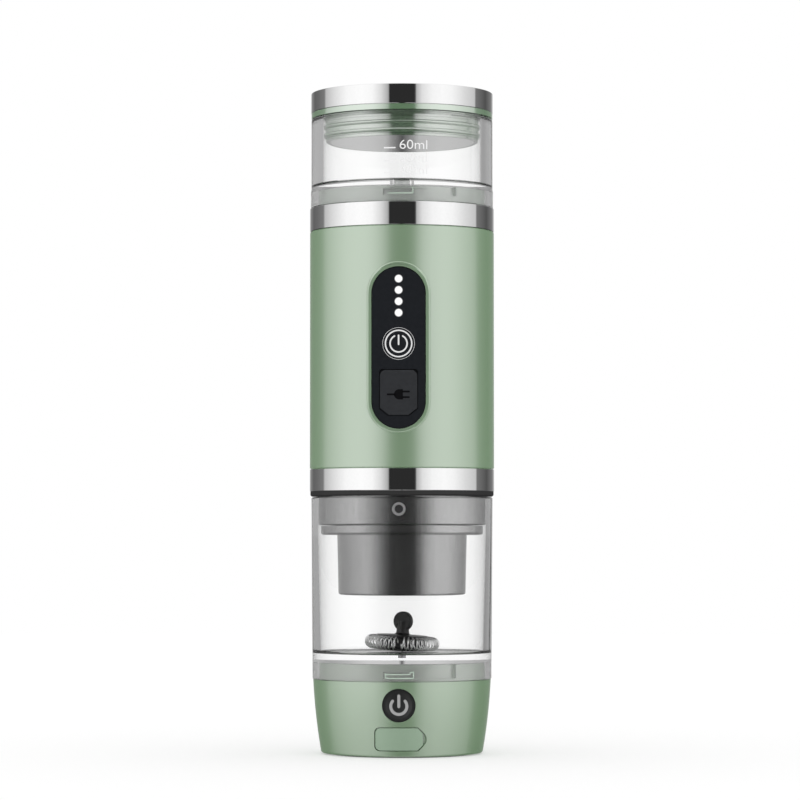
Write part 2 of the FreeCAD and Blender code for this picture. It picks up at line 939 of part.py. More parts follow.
ring_low = cup_floor_top + spring_lift + ring_radius * math.sin(math.radians(whisk_lean))
ring_z = ring_low + curl_radius + wire_radius
hub_low = cup_floor_top + whisk_lift
hub_high = ring_z + curl_radius + wire_radius + hub_cap_rise
lean_z = cup_floor_top + spindle_height / 2


def lean(shape):
    """Tip a whisk piece on its loose spindle, as the photograph shows it."""
    shape.rotate(Vector(0, 0, lean_z), ALONG_Y, whisk_lean)
    return shape


def make_whisk_hub():
    core = whisk_core_radius
    lip = whisk_lip_radius
    grip_z = hub_high + grip_height - grip_radius
    neck_z = hub_high + hub_cap_dome
    fillet = neck_foot_radius - neck_radius
    k = fillet * ARC_SHARE
    body = lathe([
        (0, hub_low),
        (lip, hub_low),
        (lip, hub_low + whisk_lip),
        (core, hub_low + 2 * whisk_lip),
        (core, hub_high - 2 * whisk_lip),
        (lip, hub_high - whisk_lip),
        (lip, hub_high),
        (neck_foot_radius, neck_z),
        (neck_radius + k, neck_z + k, neck_radius, neck_z + fillet),
        (neck_top_radius, grip_z),
        (0, grip_z),
    ])
    half = grip_thickness / 2
    coin = bolt(0, grip_z, grip_radius, half, -half)
    coin = coin.makeFillet(grip_edge, coin.Edges[0:1] + coin.Edges[2:3])
    coin.rotate(ORIGIN, ALONG_Z, grip_turn)
    hub = fuse(body, coin)
    holes = [peg(0, 0, whisk_bore, hub_low, cup_floor_top + spindle_height + hub_headroom)]
    for x in (-whisk_magnet_circle_radius, whisk_magnet_circle_radius):
        holes.append(peg(x, 0, whisk_magnet_radius + fit_gap / 2, hub_low, hub_low + whisk_magnet_height))
    return lean(cut(hub, *holes))


def make_whisk_magnets():
    magnets = []
    for x in (-whisk_magnet_circle_radius, whisk_magnet_circle_radius):
        magnets.append(lean(peg(x, 0, whisk_magnet_radius, hub_low, hub_low + whisk_magnet_height)))
    return magnets


def curl_point(turn, count):
    """A point of the wire's centre line and its direction; turn counts curls from 0 to count."""
    span = math.radians(360.0) * count / (count + 1)
    rate = span / count
    around_ring = rate * turn - math.pi / 2
    around_wire = 2 * math.pi * turn + math.pi
    out = ring_radius + curl_radius * math.cos(around_wire)
    c, s = math.cos(around_ring), math.sin(around_ring)
    point = Vector(out * c, out * s, ring_z + curl_radius * math.sin(around_wire))
    d_out = -curl_radius * math.sin(around_wire) * 2 * math.pi
    d_up = curl_radius * math.cos(around_wire) * 2 * math.pi
    way = Vector(d_out * c - out * s * rate, d_out * s + out * c * rate, d_up)
    return point, way.normalize()


def arc_through(start, corner, end):
    """The arc from start to end that is tangent to the two legs of a corner of equal legs."""
    chord = (end - start).normalize()
    leg = (corner - start).normalize()
    weight = chord.dot(leg)
    middle = (start + corner * (2 * weight) + end) * (1 / (2 + 2 * weight))
    return Part.Arc(start, middle, end).toShape()


def biarc(start, start_way, end, end_way):
    """Two arcs that leave start and reach end in the given directions and share a tangent."""
    across = end - start
    both = across.dot(start_way + end_way)
    turn = 2 * (1 - start_way.dot(end_way))
    reach = (-both + math.sqrt(both * both + turn * across.dot(across))) / turn
    first = start + start_way * reach
    second = end - end_way * reach
    middle = (first + second) * 0.5
    return [arc_through(start, first, middle), arc_through(middle, second, end)]


def make_whisk_spring():
    """One unbroken wire: curls that walk round a ring, with a short straight run at each end."""
    stations = [curl_point(half / 2, curl_count) for half in range(2 * curl_count + 1)]
    edges = []
    for (p, p_way), (q, q_way) in zip(stations, stations[1:]):
        edges += biarc(p, p_way, q, q_way)
    first, first_way = stations[0]
    last, last_way = stations[-1]
    run = 2 * wire_radius
    edges.insert(0, Part.LineSegment(first - first_way * run, first).toShape())
    edges.append(Part.LineSegment(last, last + last_way * run).toShape())
    path = Part.Wire(edges)
    section = Part.Wire(Part.makeCircle(wire_radius, first - first_way * run, first_way))
    return lean(path.makePipeShell([section], True, False))


def spring_gap():
    """The least free gap between one part of the spring's wire and another, measured on points."""
    steps = 40
    points = [curl_point(n / steps, curl_count)[0] for n in range(curl_count * steps + 1)]
    total = len(points)
    least = 1e9
    for n in range(total):
        for ahead in range(steps // 2, 2 * steps):
            other = points[(n + ahead) % total]
            least = min(least, points[n].distanceToPoint(other))
    return least - 2 * wire_radius


# Capsule holder

def ridge(root, crest, low, high, start_angle):
    """One start of a screw thread: a tapered ridge along a helix."""
    helix = Part.makeHelix(thread_lead, high - low, root)
    half_root, half_crest = thread_root_width / 2, thread_crest_width / 2
    corners = [(root, -half_root), (crest, -half_crest), (crest, half_crest), (root, half_root)]
    section = outline(corners).Wires[0]
    thread = Part.Wire(helix).makePipeShell([section], True, True)
    thread.translate(Vector(0, 0, low))
    thread.rotate(ORIGIN, ALONG_Z, start_angle)
    return thread


def make_holder_shell():
    r = holder_flange_round
    flange_low = holder_top - holder_flange_height
    bore = sleeve_root_radius
    inner = holder_bottom_radius - holder_wall
    k = holder_edge * ARC_SHARE
    k2 = r * ARC_SHARE
    return lathe([
        (spout_radius, holder_bottom),
        (holder_bottom_radius - holder_edge, holder_bottom),
        (holder_bottom_radius - k, holder_bottom + k, holder_bottom_radius, holder_bottom + holder_edge),
        (holder_top_radius, flange_low),
        (holder_flange_radius - r, flange_low),
        (holder_flange_radius - k2, flange_low + k2, holder_flange_radius, flange_low + r),
        (holder_flange_radius, holder_top),
        (bore, holder_top),
        (bore, holder_top - sleeve_sink),
        (inner, holder_top - sleeve_sink),
        (inner, holder_bottom + holder_floor),
        (spout_radius, holder_bottom + holder_floor),
    ])


def make_holder_sleeve():
    ledge = basket_top - basket_flange_height - fit_gap
    root = sleeve_root_radius - fit_gap
    sleeve = lathe([
        (sleeve_bore, holder_top - sleeve_sink + fit_gap / 2),
        (root, holder_top - sleeve_sink + fit_gap / 2),
        (root, sleeve_top),
        (basket_flange_radius + fit_gap, sleeve_top),
        (basket_flange_radius + fit_gap, ledge),
        (sleeve_bore, ledge),
    ])
    low = holder_top + thread_margin
    high = sleeve_top - thread_root_width / 2 - thread_end
    ridges = [ridge(root - thread_sink, sleeve_crest_radius, low, high, angle)
              for angle in around(thread_starts, helix_phase(low))]
    return fuse(sleeve, *ridges)


def helix_phase(z):
    """The angle of the external thread at a height, so that the two threads mesh."""
    return 360.0 * (z - collar_z) / thread_lead


def make_thread_insert():
    insert = tube(insert_root_radius, collar_bore - fit_gap, insert_z, brew_head_z)
    low = insert_z + thread_root_width / 2 + thread_end
    high = brew_head_z - thread_runout
    half_pitch = 180.0 / thread_starts
    ridges = [ridge(insert_root_radius + thread_sink, insert_crest_radius, low, high, angle)
              for angle in around(thread_starts, helix_phase(low) + half_pitch)]
    blind = bolt(0, gasket_z - eyelet_drop, eyelet_bore, collar_bore, collar_bore - fit_gap - eyelet_sink)
    return cut(fuse(insert, *ridges), blind)


def make_basket():
    top, low = basket_top, basket_bottom
    floor = low + basket_floor
    flange_low = top - basket_flange_height
    seat = top - capsule_seat_depth
    basket = lathe([
        (0, low),
        (chamber_bottom_radius + basket_wall, low),
        (chamber_top_radius + basket_wall, flange_low),
        (basket_flange_radius, flange_low),
        (basket_flange_radius, top),
        (capsule_seat_radius, top),
        (capsule_seat_radius, seat),
        (chamber_top_radius, seat),
        (chamber_bottom_radius, floor),
        (0, floor),
    ])
    drains = [peg(0, 0, drain_radius, low, floor)]
    for angle in around(pin_count, FRONT + 180.0 / pin_count):
        x, y = polar(pin_circle_radius, angle)
        drains.append(peg(x, y, drain_radius, low, floor))
    return cut(basket, *drains)


def spike(x, y, radius, root_z, tip_z):
    """A piercing cone that points up or down."""
    way = ALONG_Z if tip_z > root_z else ALONG_Z * -1
    return Part.makeCone(radius, spike_tip_radius, abs(tip_z - root_z), Vector(x, y, root_z), way)


def make_outlet_pins():
    floor = basket_bottom + basket_floor
    return [spike(*polar(pin_circle_radius, angle), pin_radius, floor, floor + pin_height)
            for angle in around(pin_count)]


def make_shower_plate():
    top = brew_head_z
    low = top - plate_thickness
    plate = peg(0, 0, plate_radius, low, top)
    root = low + plate_thickness / 2
    spikes = [spike(*polar(spike_circle_radius, angle), spike_radius, root, low - spike_length)
              for angle in around(spike_count)]
    sprays = []
    for angle in around(spike_count, FRONT + 180.0 / spike_count):
        x, y = polar(spray_circle_radius, angle)
        sprays.append(peg(x, y, spray_radius, low, top))
    return cut(fuse(plate, *spikes), *sprays)


def make_brew_head():
    top = brew_head_top
    tip = top + barb_height
    return lathe([
        (water_bore, brew_head_z + plenum_depth),
        (plenum_radius, brew_head_z + plenum_depth),
        (plenum_radius, brew_head_z),
        (collar_bore - fit_gap, brew_head_z),
        (collar_bore - fit_gap, top),
        (barb_radius, top),
        (barb_radius, tip),
        (water_bore, tip),
    ])


def make_head_gasket():
    mid = (seal_ring_inner + seal_ring_outer) / 2
    top = seal_ring_z + seal_ring_height
    return lathe([
        (seal_ring_inner + seal_ring_lip, seal_ring_z),
        (mid, seal_ring_z + seal_ring_groove),
        (seal_ring_outer - seal_ring_lip, seal_ring_z),
        (seal_ring_outer, seal_ring_z + seal_ring_lip),
        (seal_ring_outer, top),
        (seal_ring_inner, top),
        (seal_ring_inner, seal_ring_z + seal_ring_lip),
    ])


def make_collar():
    shoulder = collar_shoulder_radius
    step = lower_trim_z + fit_gap
    collar = lathe([
        (collar_bore, collar_z),
        (collar_radius - collar_edge, collar_z),
        (collar_radius, collar_z + collar_edge),
        (collar_radius, step),
        (shoulder, step),
        (shoulder, collar_top),
        (collar_roof_bore, collar_top),
        (collar_roof_bore, collar_roof_z),
        (collar_bore, collar_roof_z),
    ])
    bosses, pilots = [], []
    for angle in around(3, 90.0):
        x, y = polar(collar_boss_circle_radius, angle)
        bosses.append(peg(x, y, boss_radius, collar_top - sunk, chassis_z))
        pilots.append(peg(x, y, screw_radius + fit_gap, collar_top - sunk, chassis_z))
    eyelet_z = gasket_z - eyelet_drop
    hole = bolt(0, eyelet_z, eyelet_radius + fit_gap / 2, collar_radius + past, collar_bore / 2)
    return cut(fuse(collar, *bosses), hole, *pilots)


def make_eyelet():
    z = gasket_z - eyelet_drop
    ring = bolt(0, z, eyelet_radius, collar_radius + past, collar_bore - fit_gap)
    ring = ring.cut(bolt(0, z, eyelet_bore, collar_radius + past, collar_bore / 2))
    return ring.common(tube(collar_bore, collar_radius, z - eyelet_radius, z + eyelet_radius))


# Main body

def make_cup_gasket():
    bore = collar_radius + fit_gap
    return lathe([
        (bore, gasket_z),
        (gasket_radius - gasket_edge, gasket_z),
        (gasket_radius, gasket_z + gasket_edge),
        (gasket_radius, lower_trim_z),
        (bore, lower_trim_z),
    ])


def make_trim_ring(low, high):
    e = trim_edge
    return lathe([
        (trim_bore, low),
        (body_radius - e, low),
        (body_radius, low + e),
        (body_radius, high - e),
        (body_radius - e, high),
        (trim_bore, high),
    ])


def panel_pill(grow):
    width = panel_width + 2 * grow
    return round_box(0, panel_mid_z, width, panel_height + 2 * grow, width / 2)


def make_housing():
    low, high = housing_z, housing_top
    inside = inner_radius
    web = housing_web
    shell = lathe([
        (tongue_bore, low - housing_tongue),
        (tongue_radius, low - housing_tongue),
        (tongue_radius, low),
        (body_radius - body_round, low),
        (body_radius, low + body_round),
        (body_radius, high - body_round),
        (body_radius - body_round, high),
        (tongue_radius, high),
        (tongue_radius, high + housing_tongue),
        (tongue_bore, high + housing_tongue),
        (tongue_bore, high - web),
        (inside, high - web - housing_web_slope),
        (inside, low + web + housing_web_slope),
        (tongue_bore, low + web),
    ])
    pad = slab_y(panel_pill(lip_width), lip_face, ledge_face - ledge_thickness)
    front = [edge for edge in pad.Edges if abs(edge.BoundBox.YMax + lip_face) < 1e-4]
    pad = pad.makeFillet(lip_edge, front)
    clear = slab_y(panel_pill(lip_width), body_radius + past, lip_face - lip_edge)
    pocket = slab_y(panel_pill(fit_gap), lip_face + past, ledge_face)
    window = slab_y(panel_pill(-ledge_width), lip_face + past, ledge_face - ledge_thickness)
    return cut(fuse(shell.cut(clear), pad), pocket, window)


def cover_outline(grow, corner):
    """The port cover from the front: round at its hinged top, corners cut off at its bottom."""
    half = port_cover_width / 2 + grow
    top = port_cover_top + grow
    low = port_cover_top - port_cover_height - grow
    r = corner
    k = r * ARC_SHARE
    return [
        (-half + port_cover_cut_width, low),
        (half - port_cover_cut_width, low),
        (half, low + port_cover_cut_height),
        (half, top - r),
        (half - k, top - k, half - r, top),
        (-half + r, top),
        (-half + k, top - k, -half, top - r),
        (-half, low + port_cover_cut_height),
    ]


cover_face = panel_face + port_cover_proud
cover_back = cover_face - port_cover_thickness
cover_axis_y = (cover_face + cover_back) / 2
cover_axis_z = port_cover_top - port_cover_thickness / 2


def light_heights():
    return [panel_top - light_drop - n * light_pitch for n in range(light_count)]


def make_panel():
    panel = slab_y(panel_pill(0), panel_face, panel_back)
    front = [edge for edge in panel.Edges if abs(edge.BoundBox.YMax + panel_face) < 1e-4]
    panel = panel.makeFillet(panel_edge, front)
    holes = [bolt(0, z, light_radius + fit_gap / 2, panel_face + past, panel_back) for z in light_heights()]
    holes.append(bolt(0, button_z, button_radius + button_gap, panel_face + past, panel_back))
    recess = cover_outline(port_cover_gap, port_recess_round)
    holes.append(slab_y(recess, panel_face + past, cover_back - port_cover_gap))
    opening = (socket_width + 2 * port_gap, socket_height + 2 * port_gap)
    holes.append(slab_y(round_box(0, port_z, *opening, opening[1] / 2), panel_face + past, panel_back))
    return cut(panel, *holes)


def make_lights():
    face = panel_face + light_proud
    return [bolt(0, z, light_radius, face, face - light_length) for z in light_heights()]


panel_switch_tip = control_board_y + panel_switch_height


def make_power_button():
    face = panel_face + button_proud
    length = face - panel_back + button_gap + flange_height
    return dished_cap(button_radius, button_flange_radius, face, length, 0,
                      panel_switch_tip + press_travel + switch_gap, button_z)


def make_port_cover():
    low = port_cover_top - port_cover_height
    half = port_cover_thickness / 2
    side = outline([
        (-cover_face, low),
        (-cover_back, low),
        (-cover_back, cover_axis_z),
        (-cover_axis_y, cover_axis_z + half, -cover_face, cover_axis_z),
    ], "yz", -port_cover_width).extrude(Vector(2 * port_cover_width, 0, 0))
    flap = slab_y(cover_outline(0, port_cover_round), cover_face, cover_back).common(side)
    tongue = slab_y(
        round_box(0, port_z, cover_tongue_width, cover_tongue_height, cover_tongue_height / 2),
        cover_axis_y,
        panel_socket_face - cover_tongue_reach,
    )
    return fuse(flap, tongue)


panel_socket_face = control_board_y + socket_length


def make_control_board():
    half = control_board_width / 2
    low = panel_mid_z - control_board_height / 2
    back = control_board_y - board_thickness
    return block(-half, half, -control_board_y, -back, low, low + control_board_height)


def make_chassis():
    """Two plates joined by a spine, with a shelf that carries the pump and the heater."""
    floor = peg(0, 0, chassis_radius, chassis_z, chassis_floor)
    roof = peg(0, 0, chassis_radius, chassis_roof_z, chassis_roof_z + chassis_plate)
    half = spine_width / 2
    spine = block(-half, half, spine_y, spine_y + spine_thickness, chassis_z + sunk, chassis_roof_z + sunk)
    shelf = block(pump_x - pump_radius - shelf_margin, heater_x + heater_radius + shelf_margin,
                  spine_y, pump_y + pump_radius + shelf_margin, shelf_z, shelf_top)
    shelf = shelf.common(peg(0, 0, chassis_radius, shelf_z, shelf_top))
    holes = [
        peg(0, 0, chassis_hole, chassis_z, chassis_floor),
        peg(0, 0, chassis_top_hole, chassis_roof_z, chassis_roof_z + chassis_plate),
        peg(heater_x, heater_y, shelf_hole_radius, shelf_z, shelf_top),
    ]
    for angle in around(3, 90.0):
        x, y = polar(collar_boss_circle_radius, angle)
        holes.append(peg(x, y, screw_radius + fit_gap, chassis_z, chassis_floor))
        holes.append(peg(x, y, screw_radius + fit_gap, chassis_roof_z, chassis_roof_z + chassis_plate))
    return cut(fuse(floor, roof, spine, shelf), *holes)


def make_chassis_screws():
    screws = []
    length = screw_head_height + chassis_plate + chassis_screw_bite
    for angle in around(3, 90.0):
        x, y = polar(collar_boss_circle_radius, angle)
        screws.append(screw(x, y, chassis_floor + screw_head_height, -length))
        screws.append(screw(x, y, chassis_roof_z - screw_head_height, length))
    return screws


cell_z = chassis_floor + fit_gap + tray_height - tray_pocket + fit_gap
cell_top = cell_z + cell_length


def make_cells():
    cells = []
    for angle in cell_angles:
        x, y = polar(cell_circle_radius, angle)
        body = peg(x, y, cell_radius, cell_z, cell_top - cell_cap_height)
        cells.append(fuse(body, peg(x, y, cell_cap_radius, cell_top - cell_cap_height - sunk, cell_top)))
    return cells


def make_battery_frame():
    low = chassis_floor + fit_gap
    high = cell_top + fit_gap - tray_pocket
    trays = [sector(tray_inner_radius, tray_outer_radius, z, z + tray_height, 90.0, tray_span)
             for z in (low, high)]
    posts, pockets = [], []
    for angle in tray_post_angles:
        x, y = polar(tray_post_circle_radius, angle)
        posts.append(peg(x, y, tray_post_radius, low + sunk, high + sunk))
    for angle in cell_angles:
        x, y = polar(cell_circle_radius, angle)
        pockets.append(peg(x, y, cell_radius + fit_gap, cell_z - fit_gap, cell_top + fit_gap))
    x, y = polar(collar_boss_circle_radius, 90.0)
    pockets.append(peg(x, y, screw_head_radius + seat_gap, low, low + screw_head_height + seat_gap))
    return cut(fuse(trays[0], trays[1], *posts), *pockets)


pump_motor_z = shelf_top
pump_head_z = pump_motor_z + pump_motor_height
pump_head_top = pump_head_z + pump_head_height
chamber_z = pump_head_z + pump_chamber_floor
cam_z = chamber_z + cam_lift


def make_pump_motor():
    can = peg(pump_x, pump_y, pump_radius, pump_motor_z, pump_head_z)
    bore = peg(pump_x, pump_y, pump_bore_radius, pump_head_z - pump_bore_depth, pump_head_z)
    return cut(can, bore)


def pump_ports():
    return [(pump_x - port_pitch / 2, pump_y), (pump_x + port_pitch / 2, pump_y)]


def make_pump_head():
    body = peg(pump_x, pump_y, pump_head_radius, pump_head_z, pump_head_top)
    barb_top = pump_head_top + barb_height
    barbs = [peg(x, y, barb_radius, pump_head_top - sunk, barb_top) for x, y in pump_ports()]
    middle_z = chamber_z + pump_chamber_height / 2
    bores = [peg(x, y, barb_bore, middle_z, barb_top) for x, y in pump_ports()]
    chamber = peg(pump_x, pump_y, pump_chamber_radius, chamber_z, chamber_z + pump_chamber_height)
    shaft_hole = peg(pump_x, pump_y, pump_bore_radius, pump_head_z, chamber_z)
    return cut(fuse(body, *barbs), chamber, shaft_hole, *bores)


def make_pump_shaft():
    low = pump_head_z - pump_bore_depth + slide_gap
    shaft = peg(pump_x, pump_y, pump_shaft_radius, low, cam_z + cam_height + pump_shaft_nose)
    cam = peg(pump_x + cam_offset, pump_y, cam_radius, cam_z, cam_z + cam_height)
    return fuse(shaft, cam)


heater_z = shelf_top + fit_gap
heater_top = heater_z + heater_length


def make_heater():
    body = peg(heater_x, heater_y, heater_radius, heater_z, heater_top)
    rims = [edge for edge in body.Edges if is_ring(edge, heater_z) or is_ring(edge, heater_top)]
    body = body.makeFillet(heater_edge, rims)
    barb = peg(heater_x, heater_y, barb_radius, heater_z - heater_barb, heater_top + barb_height)
    bore = peg(heater_x, heater_y, barb_bore, heater_z - heater_barb, heater_top + barb_height)
    return cut(fuse(body, barb), bore)


def rounded_route(points):
    """Straight runs joined by tangent arcs, each as large as a share of its shorter run allows."""
    corners = [Vector(*point) for point in points]
    edges = []
    here = corners[0]
    for before, corner, after in zip(corners, corners[1:], corners[2:]):
        in_way = (corner - before).normalize()
        out_way = (after - corner).normalize()
        reach = hose_bend_share * min(before.distanceToPoint(corner), corner.distanceToPoint(after))
        arc_start = corner - in_way * reach
        arc_end = corner + out_way * reach
        edges.append(Part.LineSegment(here, arc_start).toShape())
        edges.append(arc_through(arc_start, corner, arc_end))
        here = arc_end
    edges.append(Part.LineSegment(here, corners[-1]).toShape())
    return Part.Wire(edges)


def make_hose(points):
    """A hose pushed over the barbs at its two ends."""
    path = rounded_route(points)
    way = (Vector(*points[1]) - Vector(*points[0])).normalize()
    bore = barb_radius + fit_gap / 2
    solids = []
    for radius in (bore + hose_wall, bore):
        section = Part.Wire(Part.makeCircle(radius, Vector(*points[0]), way))
        solids.append(path.makePipeShell([section], True, False))
    return solids[0].cut(solids[1])


def make_inlet_hose():
    x, y = pump_ports()[0]
    start = pump_head_top + seat_gap
    end = dock_floor_z - seat_gap
    return make_hose([(x, y, start), (x, y, start + hose_rise), (0, 0, end - hose_rise), (0, 0, end)])


def make_pressure_hose():
    x, y = pump_ports()[1]
    start = pump_head_top + seat_gap
    high = start + hose_rise
    end = heater_top + seat_gap
    return make_hose([(x, y, start), (x, y, high), (heater_x, heater_y, high), (heater_x, heater_y, end)])


def make_brew_hose():
    start = shelf_z - seat_gap
    end = brew_head_top + seat_gap
    turn_z = chassis_floor + barb_radius + hose_wall + hose_floor_gap
    from_heater = [(heater_x, heater_y, start), (heater_x, heater_y, turn_z)]
    return make_hose(from_heater + [(0, 0, turn_z), (0, 0, end)])


# Tank dock, tank and lid

def make_dock():
    low = dock_floor_z
    well = dock_well_radius
    well_floor = dock_z + dock_well_rise
    dock = lathe([
        (water_bore, low),
        (trim_bore - fit_gap, low),
        (trim_bore - fit_gap, dock_z),
        (dock_spigot_radius, dock_z),
        (dock_spigot_radius, dock_top),
        (well, dock_top),
        (well, well_floor),
        (dock_nipple_radius, well_floor),
        (dock_nipple_radius, well_floor + dock_nipple_height),
        (water_bore, well_floor + dock_nipple_height),
    ])
    hollow = tube(well + dock_well_wall, dock_spigot_bore, low, dock_top - dock_roof)
    slots = bayonet_slots(dock_spigot_radius - lug_reach, dock_spigot_radius + past, tank_lug_z - lug_gap,
                          tank_lug_z + tank_lug_height + lug_gap, dock_top, 1)
    bosses, pilots = [], []
    for angle in around(3, 90.0):
        x, y = polar(collar_boss_circle_radius, angle)
        bosses.append(peg(x, y, boss_radius, chassis_roof_z + chassis_plate, dock_top - dock_roof / 2))
        pilots.append(peg(x, y, screw_radius + fit_gap, chassis_roof_z + chassis_plate, dock_floor_z))
    spout = peg(0, 0, barb_radius, low - barb_height, low + sunk)
    spout_bore = peg(0, 0, water_bore, low - barb_height, low + sunk)
    return cut(fuse(dock.cut(hollow), spout, *bosses), spout_bore, *slots, *pilots)


def make_dock_seal():
    low = dock_z + dock_well_rise
    foot = low + dock_seal_foot
    neck = foot + dock_seal_slope
    high = tank_floor_z - seat_gap
    return lathe([
        (dock_seal_inner, low),
        (dock_seal_outer, low),
        (dock_seal_outer, foot),
        (dock_seal_outer - dock_seal_neck, neck),
        (dock_seal_outer - dock_seal_lip, high),
        (dock_seal_inner + dock_seal_lip, high),
        (dock_seal_inner + dock_seal_neck, neck),
        (dock_seal_inner, foot),
    ])


def make_tank():
    skirt_bore = dock_spigot_radius + slide_gap
    heel = tank_heel
    k = heel * ARC_SHARE
    k2 = rim_round * ARC_SHARE
    tank = lathe([
        (skirt_bore, tank_skirt_z),
        (tank_skirt_radius, tank_skirt_z),
        (tank_skirt_radius, tank_floor_z),
        (tank_radius, tank_floor_z + tank_shoulder),
        (tank_radius, tank_rim_z - rim_round),
        (tank_radius - k2, tank_rim_z - k2, tank_radius - rim_round, tank_rim_z),
        (tank_bore + rim_round, tank_rim_z),
        (tank_bore + k2, tank_rim_z - k2, tank_bore, tank_rim_z - rim_round),
        (tank_bore, tank_floor_top + heel),
        (tank_bore - k, tank_floor_top + k, tank_bore - heel, tank_floor_top),
        (valve_radius + fit_gap, tank_floor_top),
        (valve_radius + fit_gap, tank_floor_z),
        (skirt_bore, tank_floor_z),
    ])
    lugs = [sector(skirt_bore - lug_reach, skirt_bore + sunk, tank_lug_z, tank_lug_z + tank_lug_height,
                   angle, lug_angle) for angle in around(lug_count)]
    return fuse(tank, *lugs)


def make_valve():
    low = tank_floor_z - valve_drop
    under = tank_floor_z - fit_gap / 2
    over = tank_floor_top + fit_gap / 2
    return lathe([
        (0, low),
        (valve_tip, low),
        (valve_flange_radius - valve_edge, under - valve_skirt),
        (valve_flange_radius - valve_edge, under),
        (valve_radius, under),
        (valve_radius, over),
        (valve_flange_radius, over),
        (valve_flange_radius - valve_edge, tank_floor_top + valve_flange),
        (0, tank_floor_top + valve_flange),
    ])


def make_lid_cap():
    r = lid_cap_radius
    e = lid_cap_edge
    k = e * ARC_SHARE
    bore = r - lid_cap_wall
    return lathe([
        (0, lid_top - lid_cap_wall),
        (bore, lid_top - lid_cap_wall),
        (bore, lid_cap_z + fit_gap),
        (r - lid_cap_chamfer, lid_cap_z + fit_gap),
        (r, lid_cap_z + fit_gap + lid_cap_chamfer),
        (r, lid_top - e),
        (r - k, lid_top - k, r - e, lid_top),
        (0, lid_top),
    ])


seal_low = lid_flange_z - plug_depth + seal_seat_lift


def make_lid_plug():
    low = lid_flange_z - plug_depth
    roof = lid_cap_z - plug_roof
    fill = lid_cap_radius - lid_cap_wall - fit_gap
    under_cap = lid_top - lid_cap_wall - fit_gap
    inside = plug_radius - plug_wall
    seat = plug_radius - seal_seat_depth
    return lathe([
        (0, roof),
        (0, lid_cap_z),
        (fill - plug_wall, lid_cap_z),
        (fill - plug_wall, under_cap),
        (fill, under_cap),
        (fill, lid_cap_z),
        (tank_radius, lid_cap_z),
        (tank_radius, lid_flange_z),
        (plug_radius, lid_flange_z),
        (plug_radius, seal_low + seal_seat_height),
        (seat, seal_low + seal_seat_height),
        (seat, seal_low),
        (plug_radius, seal_low),
        (plug_radius, low),
        (inside + liner_ledge, low),
        (inside + liner_ledge, low + liner_thickness + fit_gap),
        (inside, low + liner_thickness + fit_gap),
        (inside, roof),
    ])


def make_lid_seal():
    bore = plug_radius - seal_seat_depth + fit_gap
    crest = tank_bore - seal_gap
    low = seal_low + fit_gap
    high = seal_low + seal_seat_height - fit_gap
    web = plug_radius + seal_web
    points = [(bore, low), (web, low)]
    pitch = (high - low) / 2
    for n in range(2):
        middle = low + (n + seal_rib_share) * pitch
        points += [(web, middle - seal_rib), (crest, middle, web, middle + seal_rib)]
    points += [(web, high), (bore, high)]
    return lathe(points)


def make_lid_liner():
    low = lid_flange_z - plug_depth
    return peg(0, 0, plug_radius - plug_wall + liner_ledge - fit_gap, low, low + liner_thickness)


os.makedirs("parts", exist_ok=True)

save("base_housing", make_base_housing())
save("base_cover", make_base_cover())
save("foot_ring", make_foot_ring())
save("base_screws", *make_base_screws())
save("base_button_cap", make_base_button())
save("base_button_switch", make_switch(base_button_z, base_switch_tip, base_board_face))
save("base_pcb", make_base_board())
save("base_usb_socket", make_socket(plug_z, base_socket_face, socket_length))
save("base_port_plug", make_base_plug())
save("base_battery", make_base_battery())
save("base_motor", make_base_motor())
save("motor_bracket", make_motor_bracket())
save("magnet_rotor", make_rotor())
save("rotor_magnets", *make_rotor_magnets())

save("cup", make_cup())
save("cup_spindle", make_spindle())
save("whisk_hub", make_whisk_hub())
save("whisk_magnets", *make_whisk_magnets())
save("whisk_spring", make_whisk_spring())
print("least gap in the whisk spring: %.2f mm" % spring_gap())

save("holder_shell", make_holder_shell())
save("holder_thread", make_holder_sleeve())
save("capsule_basket", make_basket())
save("outlet_pins", *make_outlet_pins())
save("head_gasket", make_head_gasket())
save("thread_insert", make_thread_insert())
save("brew_collar", make_collar())
save("vent_eyelet", make_eyelet())
save("brew_head", make_brew_head())
save("shower_plate", make_shower_plate())

save("cup_gasket", make_cup_gasket())
save("lower_trim_ring", make_trim_ring(lower_trim_z, housing_z - trim_joint))
save("housing", make_housing())
save("upper_trim_ring", make_trim_ring(housing_top + trim_joint, dock_z))
save("control_panel", make_panel())
save("led_lenses", *make_lights())
save("power_button", make_power_button())
save("button_switch", make_switch(button_z, panel_switch_tip, control_board_y))
save("port_cover", make_port_cover())
save("usb_socket", make_socket(port_z, panel_socket_face, socket_length))
save("control_pcb", make_control_board())
save("chassis", make_chassis())
save("chassis_screws", *make_chassis_screws())
save("battery_cells", *make_cells())
save("battery_frame", make_battery_frame())
save("pump_motor", make_pump_motor())
save("pump_head", make_pump_head())
save("pump_shaft", make_pump_shaft())
save("water_heater", make_heater())
save("inlet_hose", make_inlet_hose())
save("pressure_hose", make_pressure_hose())
save("brew_hose", make_brew_hose())

save("tank_dock", make_dock())
save("dock_seal", make_dock_seal())
save("water_tank", make_tank())
save("tank_valve", make_valve())
save("lid_cap", make_lid_cap())
save("lid_plug", make_lid_plug())
save("lid_seal", make_lid_seal())
save("lid_liner", make_lid_liner())
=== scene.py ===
# %% [markdown]
# # A portable capsule coffee machine, dressed for its picture
# The machine's solids come from the CAD model, which is loaded first and never moved. This lesson gives
# them their finishes, and makes the thin things that a solid model leaves plain: the whisk's coiled wire,
# the printed scale and the lit signs. Everything is in metres, and Z points up.

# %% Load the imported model
import json
import math

